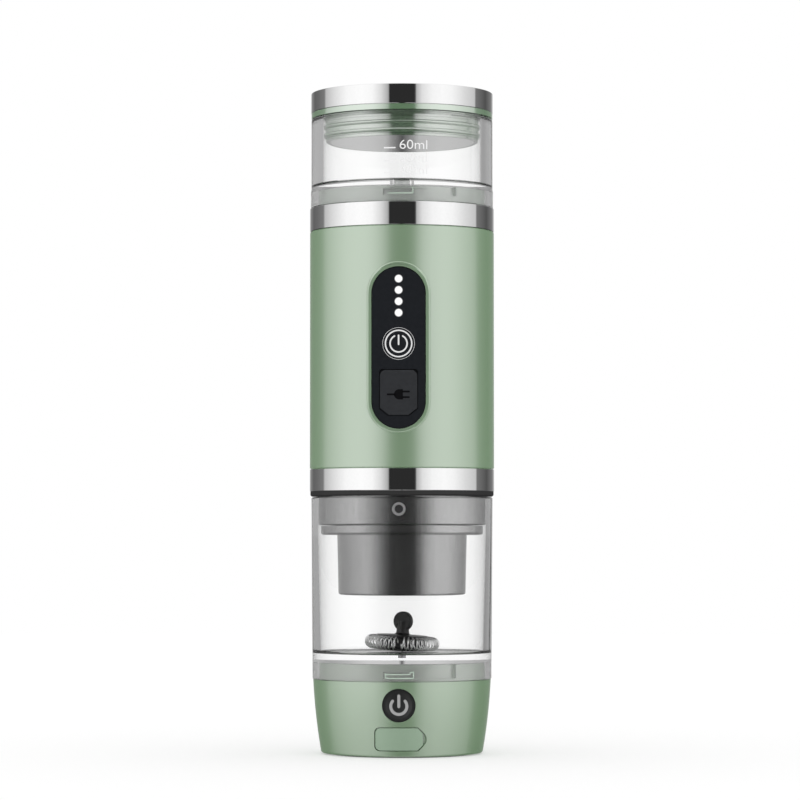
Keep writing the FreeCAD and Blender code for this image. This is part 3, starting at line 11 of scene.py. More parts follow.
import bmesh
import bpy
import numpy as np
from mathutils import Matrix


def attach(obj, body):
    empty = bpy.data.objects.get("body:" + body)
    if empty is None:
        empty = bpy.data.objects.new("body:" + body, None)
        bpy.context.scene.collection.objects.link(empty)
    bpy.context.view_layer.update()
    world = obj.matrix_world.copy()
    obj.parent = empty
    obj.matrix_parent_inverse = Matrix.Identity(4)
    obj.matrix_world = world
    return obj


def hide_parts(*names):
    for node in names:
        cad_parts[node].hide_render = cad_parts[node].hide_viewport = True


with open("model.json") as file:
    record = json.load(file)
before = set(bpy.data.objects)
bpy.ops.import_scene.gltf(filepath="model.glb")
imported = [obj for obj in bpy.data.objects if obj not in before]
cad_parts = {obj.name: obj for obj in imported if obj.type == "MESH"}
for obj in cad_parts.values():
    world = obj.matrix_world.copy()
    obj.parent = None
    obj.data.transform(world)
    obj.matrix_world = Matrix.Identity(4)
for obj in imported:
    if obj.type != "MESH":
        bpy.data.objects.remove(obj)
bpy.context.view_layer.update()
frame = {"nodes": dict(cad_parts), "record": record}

MM = 0.001

# %% [markdown]
# The picture was taken with a long lens from about the height of the cup, looking up a little, and a
# touch to the right of the control panel. A long lens keeps the machine's sides almost parallel. The
# numbers come from where the curved edges look straight: there the eye is level with them.

# %% Camera
EYE_DISTANCE = 1.321
EYE_HEIGHT = 0.0828
EYE_SIDE = math.radians(2.1)
LOOK_UP = math.radians(2.283)
LOOK_LEFT = math.radians(0.033)
LENS, SENSOR_WIDTH = 154.6, 36.0

camera_data = bpy.data.cameras.new("camera")
camera_data.lens = LENS
camera_data.sensor_width = SENSOR_WIDTH
camera = bpy.data.objects.new("camera", camera_data)
camera.location = (EYE_DISTANCE * math.sin(EYE_SIDE), -EYE_DISTANCE * math.cos(EYE_SIDE), EYE_HEIGHT)
camera.rotation_euler = (math.pi / 2 + LOOK_UP, 0, EYE_SIDE + LOOK_LEFT)
bpy.context.scene.collection.objects.link(camera)
bpy.context.scene.camera = camera
bpy.context.scene.view_settings.view_transform = "Standard"
print("lens", camera_data.lens, "mm, eye", tuple(round(c, 3) for c in camera.location))

# %% [markdown]
# A small helper keeps the node trees short: it adds a node, sets its sockets, and links what is a socket
# already. Every finish and the studio's light are built with it.

# %% Node helpers
def add(tree, kind, settings=None, **sockets):
    """Adds a node; settings are its properties, sockets its inputs, as values or other nodes' outputs."""
    node = tree.nodes.new(kind)
    for key, value in (settings or {}).items():
        setattr(node, key, value)
    for key, value in sockets.items():
        socket = node.inputs[int(key[1:])] if key[0] == "_" else node.inputs[key.replace("_", " ")]
        if isinstance(value, bpy.types.NodeSocket):
            tree.links.new(value, socket)
        else:
            socket.default_value = value
    return node


def maths(tree, operation, first, second=0.0):
    """One sum on numbers: the operation's name says which."""
    return add(tree, "ShaderNodeMath", {"operation": operation}, _0=first, _1=second).outputs[0]


def grey(level):
    return (level, level, level, 1.0)


def ramp(tree, factor, stops):
    """A colour ramp from (position, level or colour) stops."""
    node = add(tree, "ShaderNodeValToRGB", Fac=factor)
    elements = node.color_ramp.elements
    while len(elements) < len(stops):
        elements.new(0.5)
    for element, (place, colour) in zip(elements, stops):
        element.position = place
        element.color = grey(colour) if isinstance(colour, (int, float)) else (*colour, 1.0)
    return node.outputs["Color"]


print("node helpers ready")

# %% [markdown]
# The studio is a ring of large soft boxes with black cards between them. Polished metal shows them as the
# wide white bands and the dark stripe that make chrome look like chrome. A world shader draws that ring as
# brightness against compass bearing, counted from the camera's side, and only shiny rays read it. Rays
# that see the room straight, or through clear plastic, read plain white, and matt surfaces get an even
# light. A ray that has passed clear plastic and runs level, down or to the back reads a second ring, with
# a wider gap. The world isn't sampled as a lamp, because such samples don't say what kind of ray asks.

# %% Studio light
COMPASS = [(-180, .12), (-179.75, .3), (-179.4, .6), (-172, .6), (-166, .3), (-155, .2),
           (-146, .12), (-132, .14), (-116, .19), (-112.6, .5), (-96.6, .7), (-73.6, .95), (-51.6, 1.0),
           (-37.6, .95), (-26.6, .72), (-17.1, .4), (-15.9, .024), (16.7, .024), (17.9, .43), (25.4, .74),
           (38.4, .92), (53.4, .97), (66.4, .92), (86.4, .7), (105.4, .55), (107.4, .17), (132, .08),
           (155, .2), (172, .6), (179.4, .6), (179.75, .3), (180, .12)]
INSIDE = [(-180, .12), (-179.75, .3), (-179.4, .6), (-165, .6), (-154, .5), (-140, .45),
          (-120, .48), (-98, .65), (-75, .82), (-62, .88), (-50, .62), (-38, .3), (-26, .07), (22, .05),
          (31, .2), (39, .57), (49, .9), (62, 1.0), (88, 1.0), (105, .75), (120, .55), (140, .35),
          (154, .45), (165, .6), (179.4, .6), (179.75, .3), (180, .12)]
INSIDE_LOW, INSIDE_HIGH, INSIDE_BACK = 0.04, 0.09, math.radians(110)
OVERHEAD, UNDERFOOT = 0.9, 0.5
RING_TOP, ROOF_FROM, FADE_FROM = 0.35, 0.8, -0.3


def studio():
    """The bearing from the eye, as a share of a turn, picks the ring's level; it blends to one level
    overhead and fades underfoot. The kind of ray picks ring, even light or plain white."""
    world = bpy.data.worlds.new("studio")
    world.use_nodes = True
    world.cycles.sampling_method = "NONE"
    tree = world.node_tree
    tree.nodes.clear()
    toward = add(tree, "ShaderNodeTexCoord").outputs["Generated"]
    split = add(tree, "ShaderNodeSeparateXYZ", Vector=toward)
    ahead = maths(tree, "MULTIPLY", split.outputs["Y"], -1.0)
    bearing = maths(tree, "ARCTAN2", split.outputs["X"], ahead)
    from_eye = maths(tree, "SUBTRACT", bearing, EYE_SIDE)
    share = add(tree, "ShaderNodeMath", {"operation": "MULTIPLY_ADD"}, _0=from_eye,
                _1=1 / (2 * math.pi), _2=0.5)
    turn = maths(tree, "FRACT", share.outputs[0])
    path = add(tree, "ShaderNodeLightPath")
    rings = [ramp(tree, turn, [(angle / 360 + 0.5, level) for angle, level in levels])
             for levels in (COMPASS, INSIDE)]
    behind_clear = maths(tree, "GREATER_THAN", path.outputs["Transmission Depth"], 0.5)
    low = add(tree, "ShaderNodeMapRange", Value=split.outputs["Z"], From_Min=INSIDE_LOW,
              From_Max=INSIDE_HIGH, To_Min=1.0, To_Max=0.0)
    to_back = maths(tree, "GREATER_THAN", maths(tree, "ABSOLUTE", from_eye), INSIDE_BACK)
    low_or_back = maths(tree, "MAXIMUM", low.outputs["Result"], to_back)
    inside = maths(tree, "MULTIPLY", behind_clear, low_or_back)
    ring = add(tree, "ShaderNodeMixRGB", Fac=inside, Color1=rings[0], Color2=rings[1])
    height = add(tree, "ShaderNodeMapRange", Value=split.outputs["Z"], From_Min=RING_TOP,
                 From_Max=ROOF_FROM)
    room = add(tree, "ShaderNodeMixRGB", Fac=height.outputs["Result"], Color1=ring.outputs[0],
               Color2=grey(OVERHEAD))
    fade = add(tree, "ShaderNodeMapRange", Value=split.outputs["Z"], From_Min=FADE_FROM, From_Max=0.0,
               To_Min=UNDERFOOT, To_Max=1.0)
    cards = add(tree, "ShaderNodeBackground", Color=room.outputs[0], Strength=fade.outputs["Result"])
    white = add(tree, "ShaderNodeBackground", Color=grey(1.0))
    even = add(tree, "ShaderNodeBackground", Color=grey(1.0))
    unturned = maths(tree, "LESS_THAN", path.outputs["Glossy Depth"], 0.5)
    through = maths(tree, "MULTIPLY", path.outputs["Is Transmission Ray"], unturned)
    seen = maths(tree, "MAXIMUM", path.outputs["Is Camera Ray"], through)
    lit = add(tree, "ShaderNodeMixShader", Fac=path.outputs["Is Diffuse Ray"], _1=cards.outputs[0],
              _2=even.outputs[0])
    total = add(tree, "ShaderNodeMixShader", Fac=seen, _1=lit.outputs[0], _2=white.outputs[0])
    add(tree, "ShaderNodeOutputWorld", Surface=total.outputs[0])
    return world


bpy.context.scene.world = studio()
print("studio rings:", len(COMPASS), "and", len(INSIDE), "levels")

# %% [markdown]
# The floor is a plain pale sheet. It gives a touch of its own light, so that where nothing shades it, it
# is as white as the wall, and the machine still leaves its soft shadow at the foot. Mirrored rays pass
# through it and meet the studio's ring, so that a surface that leans down is lit like its neighbours.

# %% Floor
FLOOR_HALF, FLOOR_GREY, FLOOR_GLOW = 1.6, 0.72, 0.3


def floor_sheet():
    """A flat square at height zero."""
    mesh = bpy.data.meshes.new("floor")
    corners = np.array([(-1, -1, 0), (1, -1, 0), (1, 1, 0), (-1, 1, 0)], float) * FLOOR_HALF
    mesh.from_pydata(corners.tolist(), [], [(0, 1, 2, 3)])
    sheet = bpy.data.objects.new("floor", mesh)
    bpy.context.scene.collection.objects.link(sheet)
    mesh.materials.append(floor_paint())
    return sheet


def floor_paint():
    """Matt white for straight rays, nothing for mirrored ones."""
    paint = bpy.data.materials.new("floor_paint")
    paint.use_nodes = True
    tree = paint.node_tree
    matt = tree.nodes["Principled BSDF"]
    matt.inputs["Base Color"].default_value = grey(FLOOR_GREY)
    matt.inputs["Roughness"].default_value = 1.0
    matt.inputs["Specular IOR Level"].default_value = 0.0
    matt.inputs["Emission Color"].default_value = grey(1.0)
    matt.inputs["Emission Strength"].default_value = FLOOR_GLOW
    path = add(tree, "ShaderNodeLightPath")
    mirrored = maths(tree, "GREATER_THAN", path.outputs["Glossy Depth"], 0.5)
    gone = add(tree, "ShaderNodeBsdfTransparent")
    both = add(tree, "ShaderNodeMixShader", Fac=mirrored, _1=matt.outputs[0], _2=gone.outputs[0])
    tree.links.new(both.outputs[0], tree.nodes["Material Output"].inputs["Surface"])
    return paint


floor_sheet()
print("floor laid")

# %% [markdown]
# Most finishes are one shader with a fine grain. The grain is noise on the piece's own coordinates: it
# shifts the colour, the gloss and the surface by a little, as moulding, brushing or dust do on the real
# thing. What is the same all over the piece is set straight on the shader.

# %% Finishes
NOISE_LOW, NOISE_HIGH, NOISE_DETAIL = 0.3, 0.7, 3.0
BUMP_DEPTH, GLOSS_SWING = 0.0002, 3
CLEAR_IOR, FROST_SPECKLE, FROST_SWING = 1.49, 2500.0, 0.1


def finish(name, colour, roughness, grain=0.03, scale=900.0, stretch=(1, 1, 1), bump=0.02, **constant):
    """A surface whose colour, gloss and height vary with stretched noise in the piece's own space."""
    paint = bpy.data.materials.new(name)
    paint.use_nodes = True
    tree = paint.node_tree
    shader = tree.nodes["Principled BSDF"]
    where = add(tree, "ShaderNodeTexCoord").outputs["Object"]
    spread = add(tree, "ShaderNodeMapping", Vector=where, Scale=stretch)
    noise = add(tree, "ShaderNodeTexNoise", Vector=spread.outputs[0], Scale=scale,
                Detail=NOISE_DETAIL)
    low = tuple(c * (1 - grain) for c in colour)
    high = tuple(min(1.0, c * (1 + grain)) for c in colour)
    shades = ramp(tree, noise.outputs["Fac"], [(NOISE_LOW, low), (NOISE_HIGH, high)])
    tree.links.new(shades, shader.inputs["Base Color"])
    gloss = add(tree, "ShaderNodeMapRange", Value=noise.outputs["Fac"])
    gloss.inputs["To Min"].default_value = max(0.0, roughness * (1 - GLOSS_SWING * grain))
    gloss.inputs["To Max"].default_value = roughness * (1 + GLOSS_SWING * grain)
    tree.links.new(gloss.outputs["Result"], shader.inputs["Roughness"])
    if bump:
        rise = add(tree, "ShaderNodeBump", Height=noise.outputs["Fac"], Strength=bump,
                   Distance=BUMP_DEPTH)
        tree.links.new(rise.outputs["Normal"], shader.inputs["Normal"])
    for key, value in constant.items():
        shader.inputs[key.replace("_", " ")].default_value = value
    return paint


def clear_plastic(name, tint, edge, frost_low=0.0, frost_high=0.0, frost=0.0):
    """Clear plastic in its tint, grey where it is seen edge-on, which is painted shade for the dark edges
    of its walls, and frosted between two heights.
    """
    paint = bpy.data.materials.new(name)
    paint.use_nodes = True
    tree = paint.node_tree
    shader = tree.nodes["Principled BSDF"]
    facing = add(tree, "ShaderNodeLayerWeight", Blend=0.5).outputs["Facing"]
    # The ramp greys the tint where the surface is seen edge-on: painted shade for the walls' dark edges.
    tree.links.new(ramp(tree, facing, [(0.35, tint), (0.8, edge)]), shader.inputs["Base Color"])
    shader.inputs["Transmission Weight"].default_value = 1.0
    if frost:
        where = add(tree, "ShaderNodeTexCoord").outputs["Object"]
        height = add(tree, "ShaderNodeSeparateXYZ", Vector=where).outputs["Z"]
        speckle = add(tree, "ShaderNodeTexNoise", Vector=where, Scale=FROST_SPECKLE).outputs["Fac"]
        uneven = add(tree, "ShaderNodeMapRange", Value=speckle, To_Min=(1 - FROST_SWING) * frost,
                     To_Max=(1 + FROST_SWING) * frost)
        middle, half = (frost_low + frost_high) / 2 * MM, (frost_high - frost_low) / 2 * MM
        near = add(tree, "ShaderNodeMath", {"operation": "COMPARE"}, _0=height, _1=middle, _2=half)
        veil = maths(tree, "MULTIPLY", near.outputs[0], uneven.outputs["Result"])
        tree.links.new(maths(tree, "SUBTRACT", 1.0, veil), shader.inputs["Transmission Weight"])
    shader.inputs["IOR"].default_value = CLEAR_IOR
    shader.inputs["Roughness"].default_value = 0.0
    return paint


# The second colour is the grey of clear walls seen edge-on, a painted shade.
CLEAR, CLEAR_EDGE_SHADE = (0.998, 0.999, 0.998), (0.945, 0.95, 0.95)
FINISH = {
    "sage_shell": finish("sage_shell", (0.235, 0.41, 0.21), 0.28, grain=0.008, bump=0.004, IOR=2.7,
                         Specular_IOR_Level=1.0, Coat_Weight=0.4, Coat_Roughness=0.03),
    "sage_rubber": finish("sage_rubber", (0.27, 0.42, 0.27), 0.45, grain=0.015, IOR=2.1,
                          Specular_IOR_Level=0.8),
    "chrome_trim": finish("chrome_trim", (0.98, 0.98, 0.98), 0.03, grain=0.01, bump=0, Metallic=1.0),
    "gunmetal": finish("gunmetal", (0.5, 0.5, 0.5), 0.2, stretch=(1, 1, 0.1), Metallic=1.0),
    "panel_black": finish("panel_black", (0.007, 0.009, 0.013), 0.42, grain=0.1, Specular_IOR_Level=0.35),
    "cover_grey": finish("cover_grey", (0.021, 0.023, 0.027), 0.5, grain=0.1, bump=0.05,
                         Specular_IOR_Level=0.4),
    "black_rubber": finish("black_rubber", (0.02, 0.02, 0.02), 0.6, bump=0.1),
    "black_plastic": finish("black_plastic", (0.02, 0.021, 0.021), 0.3),
    "light_lens": finish("light_lens", (0.1, 0.1, 0.1), 0.2, Emission_Color=grey(1.0),
                         Emission_Strength=0.9),
    "steel": finish("steel", (0.6, 0.6, 0.61), 0.25, stretch=(1, 1, 0.1), Metallic=1.0),
    "spring_wire": finish("spring_wire", (0.95, 0.95, 0.95), 0.25, grain=0.01, Metallic=1.0),
    "cell_wrap": finish("cell_wrap", (0.03, 0.16, 0.5), 0.35),
    "board_green": finish("board_green", (0.015, 0.14, 0.06), 0.4, grain=0.2),
    "inner_grey": finish("inner_grey", (0.38, 0.38, 0.38), 0.5),
    "heater_alloy": finish("heater_alloy", (0.66, 0.66, 0.65), 0.45, bump=0.1, Metallic=1.0),
    "hose_silicone": finish("hose_silicone", (0.75, 0.75, 0.72), 0.5),
    "copper_magnet": finish("copper_magnet", (0.5, 0.5, 0.5), 0.3, Metallic=1.0),
    "lid_tint": finish("lid_tint", (0.26, 0.48, 0.25), 0.12, grain=0.01, IOR=3.0, Specular_IOR_Level=1.0,
                       Coat_Weight=1.0, Coat_IOR=3.2, Coat_Roughness=0.12),
    "seal_tint": finish("seal_tint", (0.33, 0.58, 0.32), 0.15, grain=0.01, IOR=3.0, Specular_IOR_Level=1.0,
                        Coat_Weight=1.0, Coat_IOR=3.2, Coat_Roughness=0.15),
    "clear_plastic": clear_plastic("clear_plastic", CLEAR, CLEAR_EDGE_SHADE),
}
print("finishes:", len(FINISH))

# %% [markdown]
# Each CAD node says in its record which finish it takes, so one loop dresses the whole frame, the inner
# parts included, because they show when the machine is taken apart. A few nodes have a finish of their own:
# the cup and the tank are frosted where their skirts hide the bayonet, the valve is clear silicone, the
# vent's eyelet satin metal, and the dock a paler copy of the shell's green, which is painted light: it
# stands in for the light on the dock behind the tank's clear skirt.

# %% Dress the frame
OWN_FINISH = {
    "cup": clear_plastic("cup_clear", CLEAR, CLEAR_EDGE_SHADE, 28.0, 35.3, 0.13),
    "water_tank": clear_plastic("tank_clear", CLEAR, CLEAR_EDGE_SHADE, 208.0, 215.3, 0.13),
    "tank_valve": finish("valve_silicone", (0.9, 0.92, 0.9), 0.25, grain=0.01, Transmission_Weight=0.85),
    "vent_eyelet": finish("eyelet_satin", (0.8, 0.8, 0.8), 0.35, grain=0.02, Metallic=0.55),
    # The dock's paler green is painted light, a lighter copy of the shell's green.
    "tank_dock": finish("dock_sage_painted_light", (0.34, 0.5, 0.34), 0.28, grain=0.008, bump=0.004, IOR=2.9,
                        Specular_IOR_Level=1.0, Coat_Weight=0.4, Coat_Roughness=0.03),
}
slots = {row["node"]: row["material_slot"] for row in frame["record"]["subparts"]}
for name, node in frame["nodes"].items():
    node.data.materials.clear()
    node.data.materials.append(OWN_FINISH.get(name, FINISH[slots[name]]))
print("dressed nodes:", len(slots))

# %% [markdown]
# Every new piece is worked out as whole arrays of points. A grid of points becomes faces by joining each
# point to its neighbours, and a grid can close on itself in one or both directions. The piece is then
# merged where rows shrink to a point, its faces are turned outwards, and it rides on its body.

# %% Grids and pieces
def grid_faces(rows, columns, ring=False, loop=False):
    """Each face joins a point, its neighbour in the row, and the two below them. ring joins the last
    column to the first, loop the last row to the first."""
    i = np.arange(rows if loop else rows - 1)[:, None]
    j = np.arange(columns if ring else columns - 1)[None, :]
    below, beyond = (i + 1) % rows, (j + 1) % columns
    corners = [i * columns + j, i * columns + beyond, below * columns + beyond, below * columns + j]
    return np.stack(corners, axis=-1).reshape(-1, 4)


def new_piece(name, grids, body, slot, stands_for=(), material=None):
    """Joins (points in mm, faces) pairs into one closed mesh that rides a body and wears a finish."""
    points, faces, start = [], [], 0
    for spots, sides in grids:
        points.append(spots)
        faces += [[corner + start for corner in side] for side in sides]
        start += len(spots)
    mesh = bpy.data.meshes.new(name)
    mesh.from_pydata((np.concatenate(points) * MM).tolist(), [], faces)
    sewn = bmesh.new()
    sewn.from_mesh(mesh)
    bmesh.ops.remove_doubles(sewn, verts=sewn.verts, dist=1e-7)
    bmesh.ops.recalc_face_normals(sewn, faces=sewn.faces)
    sewn.to_mesh(mesh)
    sewn.free()
    mesh.materials.append(material or FINISH[slot])
    made = bpy.data.objects.new(name, mesh)
    bpy.context.scene.collection.objects.link(made)
    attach(made, body)
    if stands_for:
        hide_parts(*stands_for)
    print(name, "points:", len(mesh.vertices), "faces:", len(mesh.polygons))
    return made


def smooth(piece):
    """Marks every face to be shaded round."""
    piece.data.polygons.foreach_set("use_smooth", np.ones(len(piece.data.polygons), bool))
    piece.data.update()


print("grid and piece helpers ready")

# %% [markdown]
# The whisk is one springy wire wound in small curls, and the curls walk once round the hub. It could be a
# curve with a bevel, but a tube laid out by formula is as smooth and knows its own sides. The wire's
# middle line turns round a small circle while that circle's centre walks round the large one, and the
# whole whisk leans a little, as it does in its cup.

# %% Whisk wire
RING_RADIUS, CURL_RADIUS, WIRE_RADIUS = 11.7, 2.35, 0.3
CURLS, RING_HEIGHT = 47, 42.112
LEAN, LEAN_HEIGHT = math.radians(3.0), 41.0
STATIONS_PER_CURL, WIRE_SIDES = 24, 8


def sweep(path, side, up, profile, closed=False):
    """Path point plus side times the profile's first number plus up times its second; capped ends."""
    points = (path[:, None] + side[:, None] * profile[None, :, :1] + up[:, None] * profile[None, :, 1:])
    rows, columns = points.shape[:2]
    faces = grid_faces(rows, columns, ring=True, loop=closed).tolist()
    if not closed:
        faces += [list(range(columns)), list(range((rows - 1) * columns, rows * columns))]
    return points.reshape(-1, 3), faces


def ring_bearing(turns):
    """Every curl moves the same share of a turn round the ring, which leaves room for one curl more."""
    return 2 * np.pi * turns / (CURLS + 1) - np.pi / 2


def curl_line(turns):
    """Ring radius plus curl radius times the cosine of the curl's angle, turned round the axis."""
    round_ring = ring_bearing(turns)
    round_wire = 2 * np.pi * turns + np.pi
    out = RING_RADIUS + CURL_RADIUS * np.cos(round_wire)
    height = RING_HEIGHT + CURL_RADIUS * np.sin(round_wire)
    return np.stack([out * np.cos(round_ring), out * np.sin(round_ring), height], axis=-1)


def lean(points):
    """Turns points about the axis along Y through the middle of the spindle."""
    x, z = points[:, 0], points[:, 2] - LEAN_HEIGHT
    leaned = [x * math.cos(LEAN) + z * math.sin(LEAN), points[:, 1],
              LEAN_HEIGHT - x * math.sin(LEAN) + z * math.cos(LEAN)]
    return np.stack(leaned, axis=-1)


turns = np.linspace(0, CURLS, CURLS * STATIONS_PER_CURL + 1)
wire = curl_line(turns)
along = np.gradient(wire, axis=0)
along /= np.linalg.norm(along, axis=1, keepdims=True)
ring_angle = ring_bearing(turns)
core = RING_RADIUS * np.stack([np.cos(ring_angle), np.sin(ring_angle), 0 * turns], axis=-1)
core[:, 2] = RING_HEIGHT
outward = wire - core
outward -= along * np.sum(outward * along, axis=1, keepdims=True)
outward /= np.linalg.norm(outward, axis=1, keepdims=True)
sides = 2 * np.pi * np.arange(WIRE_SIDES) / WIRE_SIDES
section = WIRE_RADIUS * np.stack([np.cos(sides), np.sin(sides)], axis=-1)
tube_points, tube_faces = sweep(wire, outward, np.cross(along, outward), section)
whisk_wire = new_piece("whisk_wire", [(lean(tube_points), tube_faces)], "whisk", "spring_wire",
                       stands_for=["whisk_spring"])
smooth(whisk_wire)

# %% [markdown]
# The lit signs and the printed scale are thin raised lines on a surface. Each line is drawn flat first, as
# a path with a width, and a small function then lays it on its surface: a flat panel, a dished button or
# the round tank. The ends are round, because the width shrinks there as the chord of a circle does.

# %% Lines laid on a surface
MARK_RISE, MARK_ROOT = 0.06, 0.04


def path_share(length, width, closed, pieces=48):
    """Shares of the way from 0 to 1, closer together over the rounded ends."""
    if closed:
        return np.arange(pieces) / pieces
    cap = (1 - np.cos(np.linspace(0, np.pi / 2, 7))) * 0.5 * width / length
    middle = np.linspace(cap[-1], 1 - cap[-1], pieces)
    return np.concatenate([cap[:-1], middle, 1 - cap[-2::-1]])


def mark(path, length, width, place, closed=False):
    """Points half a width to each side of a flat path, root and crest, laid on a surface by place."""
    share = path_share(length, width, closed)
    line = path(share)
    step = 1e-4
    along = path(share + step) - path(share - step)
    along /= np.linalg.norm(along, axis=1, keepdims=True)
    across = np.stack([-along[:, 1], along[:, 0]], axis=-1)
    from_end = np.minimum(share, 1 - share) * length / (width / 2)
    half = np.full(len(share), width / 2)
    if not closed:
        half *= np.sqrt(np.clip(1 - (1 - np.minimum(from_end, 1)) ** 2, 0, 1))
    corners = np.array([(-1, -MARK_ROOT), (1, -MARK_ROOT), (1, MARK_RISE), (-1, MARK_RISE)])
    flat = line[:, None] + across[:, None] * (half[:, None, None] * corners[None, :, :1])
    lift = np.broadcast_to(corners[None, :, 1], flat.shape[:2])
    spots = place(flat[..., 0], flat[..., 1], lift).reshape(-1, 3)
    return spots, grid_faces(len(share), 4, ring=True, loop=closed).tolist()


def arc(centre, radius, start, end):
    """Centre plus radius times the sine and cosine of an angle from the top, clockwise."""
    def path(share):
        angle = np.radians(start + (end - start) * share)
        return np.stack([centre[0] + radius * np.sin(angle), centre[1] + radius * np.cos(angle)], axis=-1)
    return path, radius * math.radians(abs(end - start))


def straight(start, end):
    """A share of the way from start to end."""
    start, end = np.array(start, float), np.array(end, float)
    return (lambda share: start + (end - start) * share[:, None]), float(np.linalg.norm(end - start))


def on_flat(depth):
    """A flat upright face that looks to the front."""
    return lambda x, z, lift: np.stack([x, depth - lift, z], axis=-1)


def on_round(radius):
    """The angle is the way along the arc over the radius; the lift makes the radius longer."""
    return lambda x, z, lift: np.stack([(radius + lift) * np.sin(x / radius),
                                        -(radius + lift) * np.cos(x / radius), z], axis=-1)


print("mark helpers ready, rise", MARK_RISE, "mm")

# %% [markdown]
# The four battery lights are small lenses with a lamp behind each. The light is full in the middle and dies
# at the rim, so the glow depends on the distance from the lens's middle; the lenses are evenly spaced, so
# one remainder of the height finds the nearest one.

# %% Battery lights
LIGHT_TOP, LIGHT_PITCH, LIGHT_CORE, LIGHT_RADIUS = 179.7, 4.27, 1.25, 1.5
GLOW_FULL, GLOW_RIM = 0.95, 0.12


def lens_glow():
    """Full glow within the core of each lens, none at its rim, by distance from the nearest middle."""
    paint = finish("lens_glow", (0.1, 0.1, 0.1), 0.25, grain=0.02, Emission_Color=grey(1.0))
    tree = paint.node_tree
    where = add(tree, "ShaderNodeTexCoord").outputs["Object"]
    split = add(tree, "ShaderNodeSeparateXYZ", Vector=where)
    from_top = maths(tree, "SUBTRACT", split.outputs["Z"], (LIGHT_TOP + LIGHT_PITCH / 2) * MM)
    remainder = maths(tree, "FLOORED_MODULO", from_top, LIGHT_PITCH * MM)
    up = maths(tree, "SUBTRACT", remainder, LIGHT_PITCH / 2 * MM)
    away = maths(tree, "SQRT", maths(tree, "ADD", maths(tree, "POWER", split.outputs["X"], 2.0),
                                     maths(tree, "POWER", up, 2.0)))
    glow = add(tree, "ShaderNodeMapRange", Value=away, From_Min=LIGHT_CORE * MM,
               From_Max=LIGHT_RADIUS * MM, To_Min=GLOW_FULL, To_Max=GLOW_RIM)
    tree.links.new(glow.outputs["Result"], tree.nodes["Principled BSDF"].inputs["Emission Strength"])
    return paint


frame["nodes"]["led_lenses"].data.materials[0] = lens_glow()
print("battery lights: glow core", LIGHT_CORE, "mm")

# %% [markdown]
# The control panel's power sign is lit from behind: a thicker ring on the button, and the broken circle
# with its bar that means on and off. The thin outer ring round the button glows too, but it is a painted
# highlight where the gap between button and panel catches the light.

# %% Lit power sign
BUTTON_HEIGHT, BUTTON_FACE, PANEL_FACE = 155.3, -34.7, -34.7
RING_LIT_RADIUS, RING_LIT_WIDTH, GAP_HIGHLIGHT_RADIUS, GAP_HIGHLIGHT_WIDTH = 4.95, 0.52, 5.98, 0.12
button = (0.0, BUTTON_HEIGHT)
sign_place = on_flat(BUTTON_FACE)


def power_sign(centre, radius, width, bar_top, bar_foot, bar_width, place, gap):
    """A circle open by gap degrees to each side of the top, and an upright bar through the opening."""
    ring_path, ring_length = arc(centre, radius, gap, 360 - gap)
    bar_path, bar_length = straight((centre[0], centre[1] + bar_top), (centre[0], centre[1] + bar_foot))
    return [mark(ring_path, ring_length, width, place), mark(bar_path, bar_length, bar_width, place)]


soft_light = finish("soft_light", (0.1, 0.1, 0.1), 0.2, Emission_Color=grey(1.0), Emission_Strength=0.68)
lit_parts = power_sign(button, radius=3.2, width=0.56, bar_top=3.35, bar_foot=-0.6, bar_width=0.6,
                       place=sign_place, gap=24)
lit_parts.append(mark(*arc(button, RING_LIT_RADIUS, 0, 360), RING_LIT_WIDTH, sign_place, closed=True))
new_piece("lit_power_sign", lit_parts, "power_button", "light_lens", material=soft_light)
# The thin glowing ring on the panel round the button is a painted highlight at the gap.
rim = mark(*arc(button, GAP_HIGHLIGHT_RADIUS, 0, 360), GAP_HIGHLIGHT_WIDTH, on_flat(PANEL_FACE), closed=True)
new_piece("button_gap_painted_highlight", [rim], "machine", "light_lens", material=soft_light)

# %% [markdown]
# The base button is dished like a shallow bowl, so its printed sign is laid on a ball's inside: at each
# point the depth comes from the ball's radius and the distance to the button's middle.

# %% Printed power sign on the base button
BASE_BUTTON_HEIGHT, DISH_CENTRE, DISH_RADIUS, SIGN_DROP = 19.8, -50.4, 18.2, 0.3


def on_dish(x, z, lift):
    """Depth is the ball's centre plus the root of its radius squared less the distance squared."""
    from_middle = x ** 2 + (z - BASE_BUTTON_HEIGHT) ** 2
    return np.stack([x, DISH_CENTRE + np.sqrt(DISH_RADIUS ** 2 - from_middle) - lift, z], axis=-1)


printed = power_sign((0.0, BASE_BUTTON_HEIGHT - SIGN_DROP), radius=3.02, width=1.1, bar_top=4.4,
                     bar_foot=-0.7, bar_width=1.1, place=on_dish, gap=40)
new_piece("printed_power_sign", printed, "base_button", "inner_grey")

# %% [markdown]
# The port cover carries a plain picture of a charging plug, moulded in and a shade darker than the cover:
# a cord, a rounded body and two pins.

# %% Plug sign on the port cover
COVER_HEIGHT, COVER_FACE, PIN_HALF_GAP, PLUG_LINE = 136.2, -34.8, 1.05, 0.65
cover_place = on_flat(COVER_FACE)


def plate(outline, place):
    """A flat outline at the root and at the crest, joined round the edge and closed on both sides."""
    count = len(outline)
    flat = np.concatenate([outline, outline])
    lift = np.repeat([-MARK_ROOT, MARK_RISE], count)
    faces = grid_faces(2, count, ring=True).tolist() + [list(range(count)), list(range(count, 2 * count))]
    return place(flat[:, 0], flat[:, 1], lift), faces


def plug_body(x, z, half, length):
    """A rectangle whose left end is half a circle."""
    angle = np.linspace(np.pi / 2, 3 * np.pi / 2, 17)
    left = np.stack([x + half * np.cos(angle), z + half * np.sin(angle)], axis=-1)
    return np.concatenate([left, [(x + length, z - half), (x + length, z + half)]])


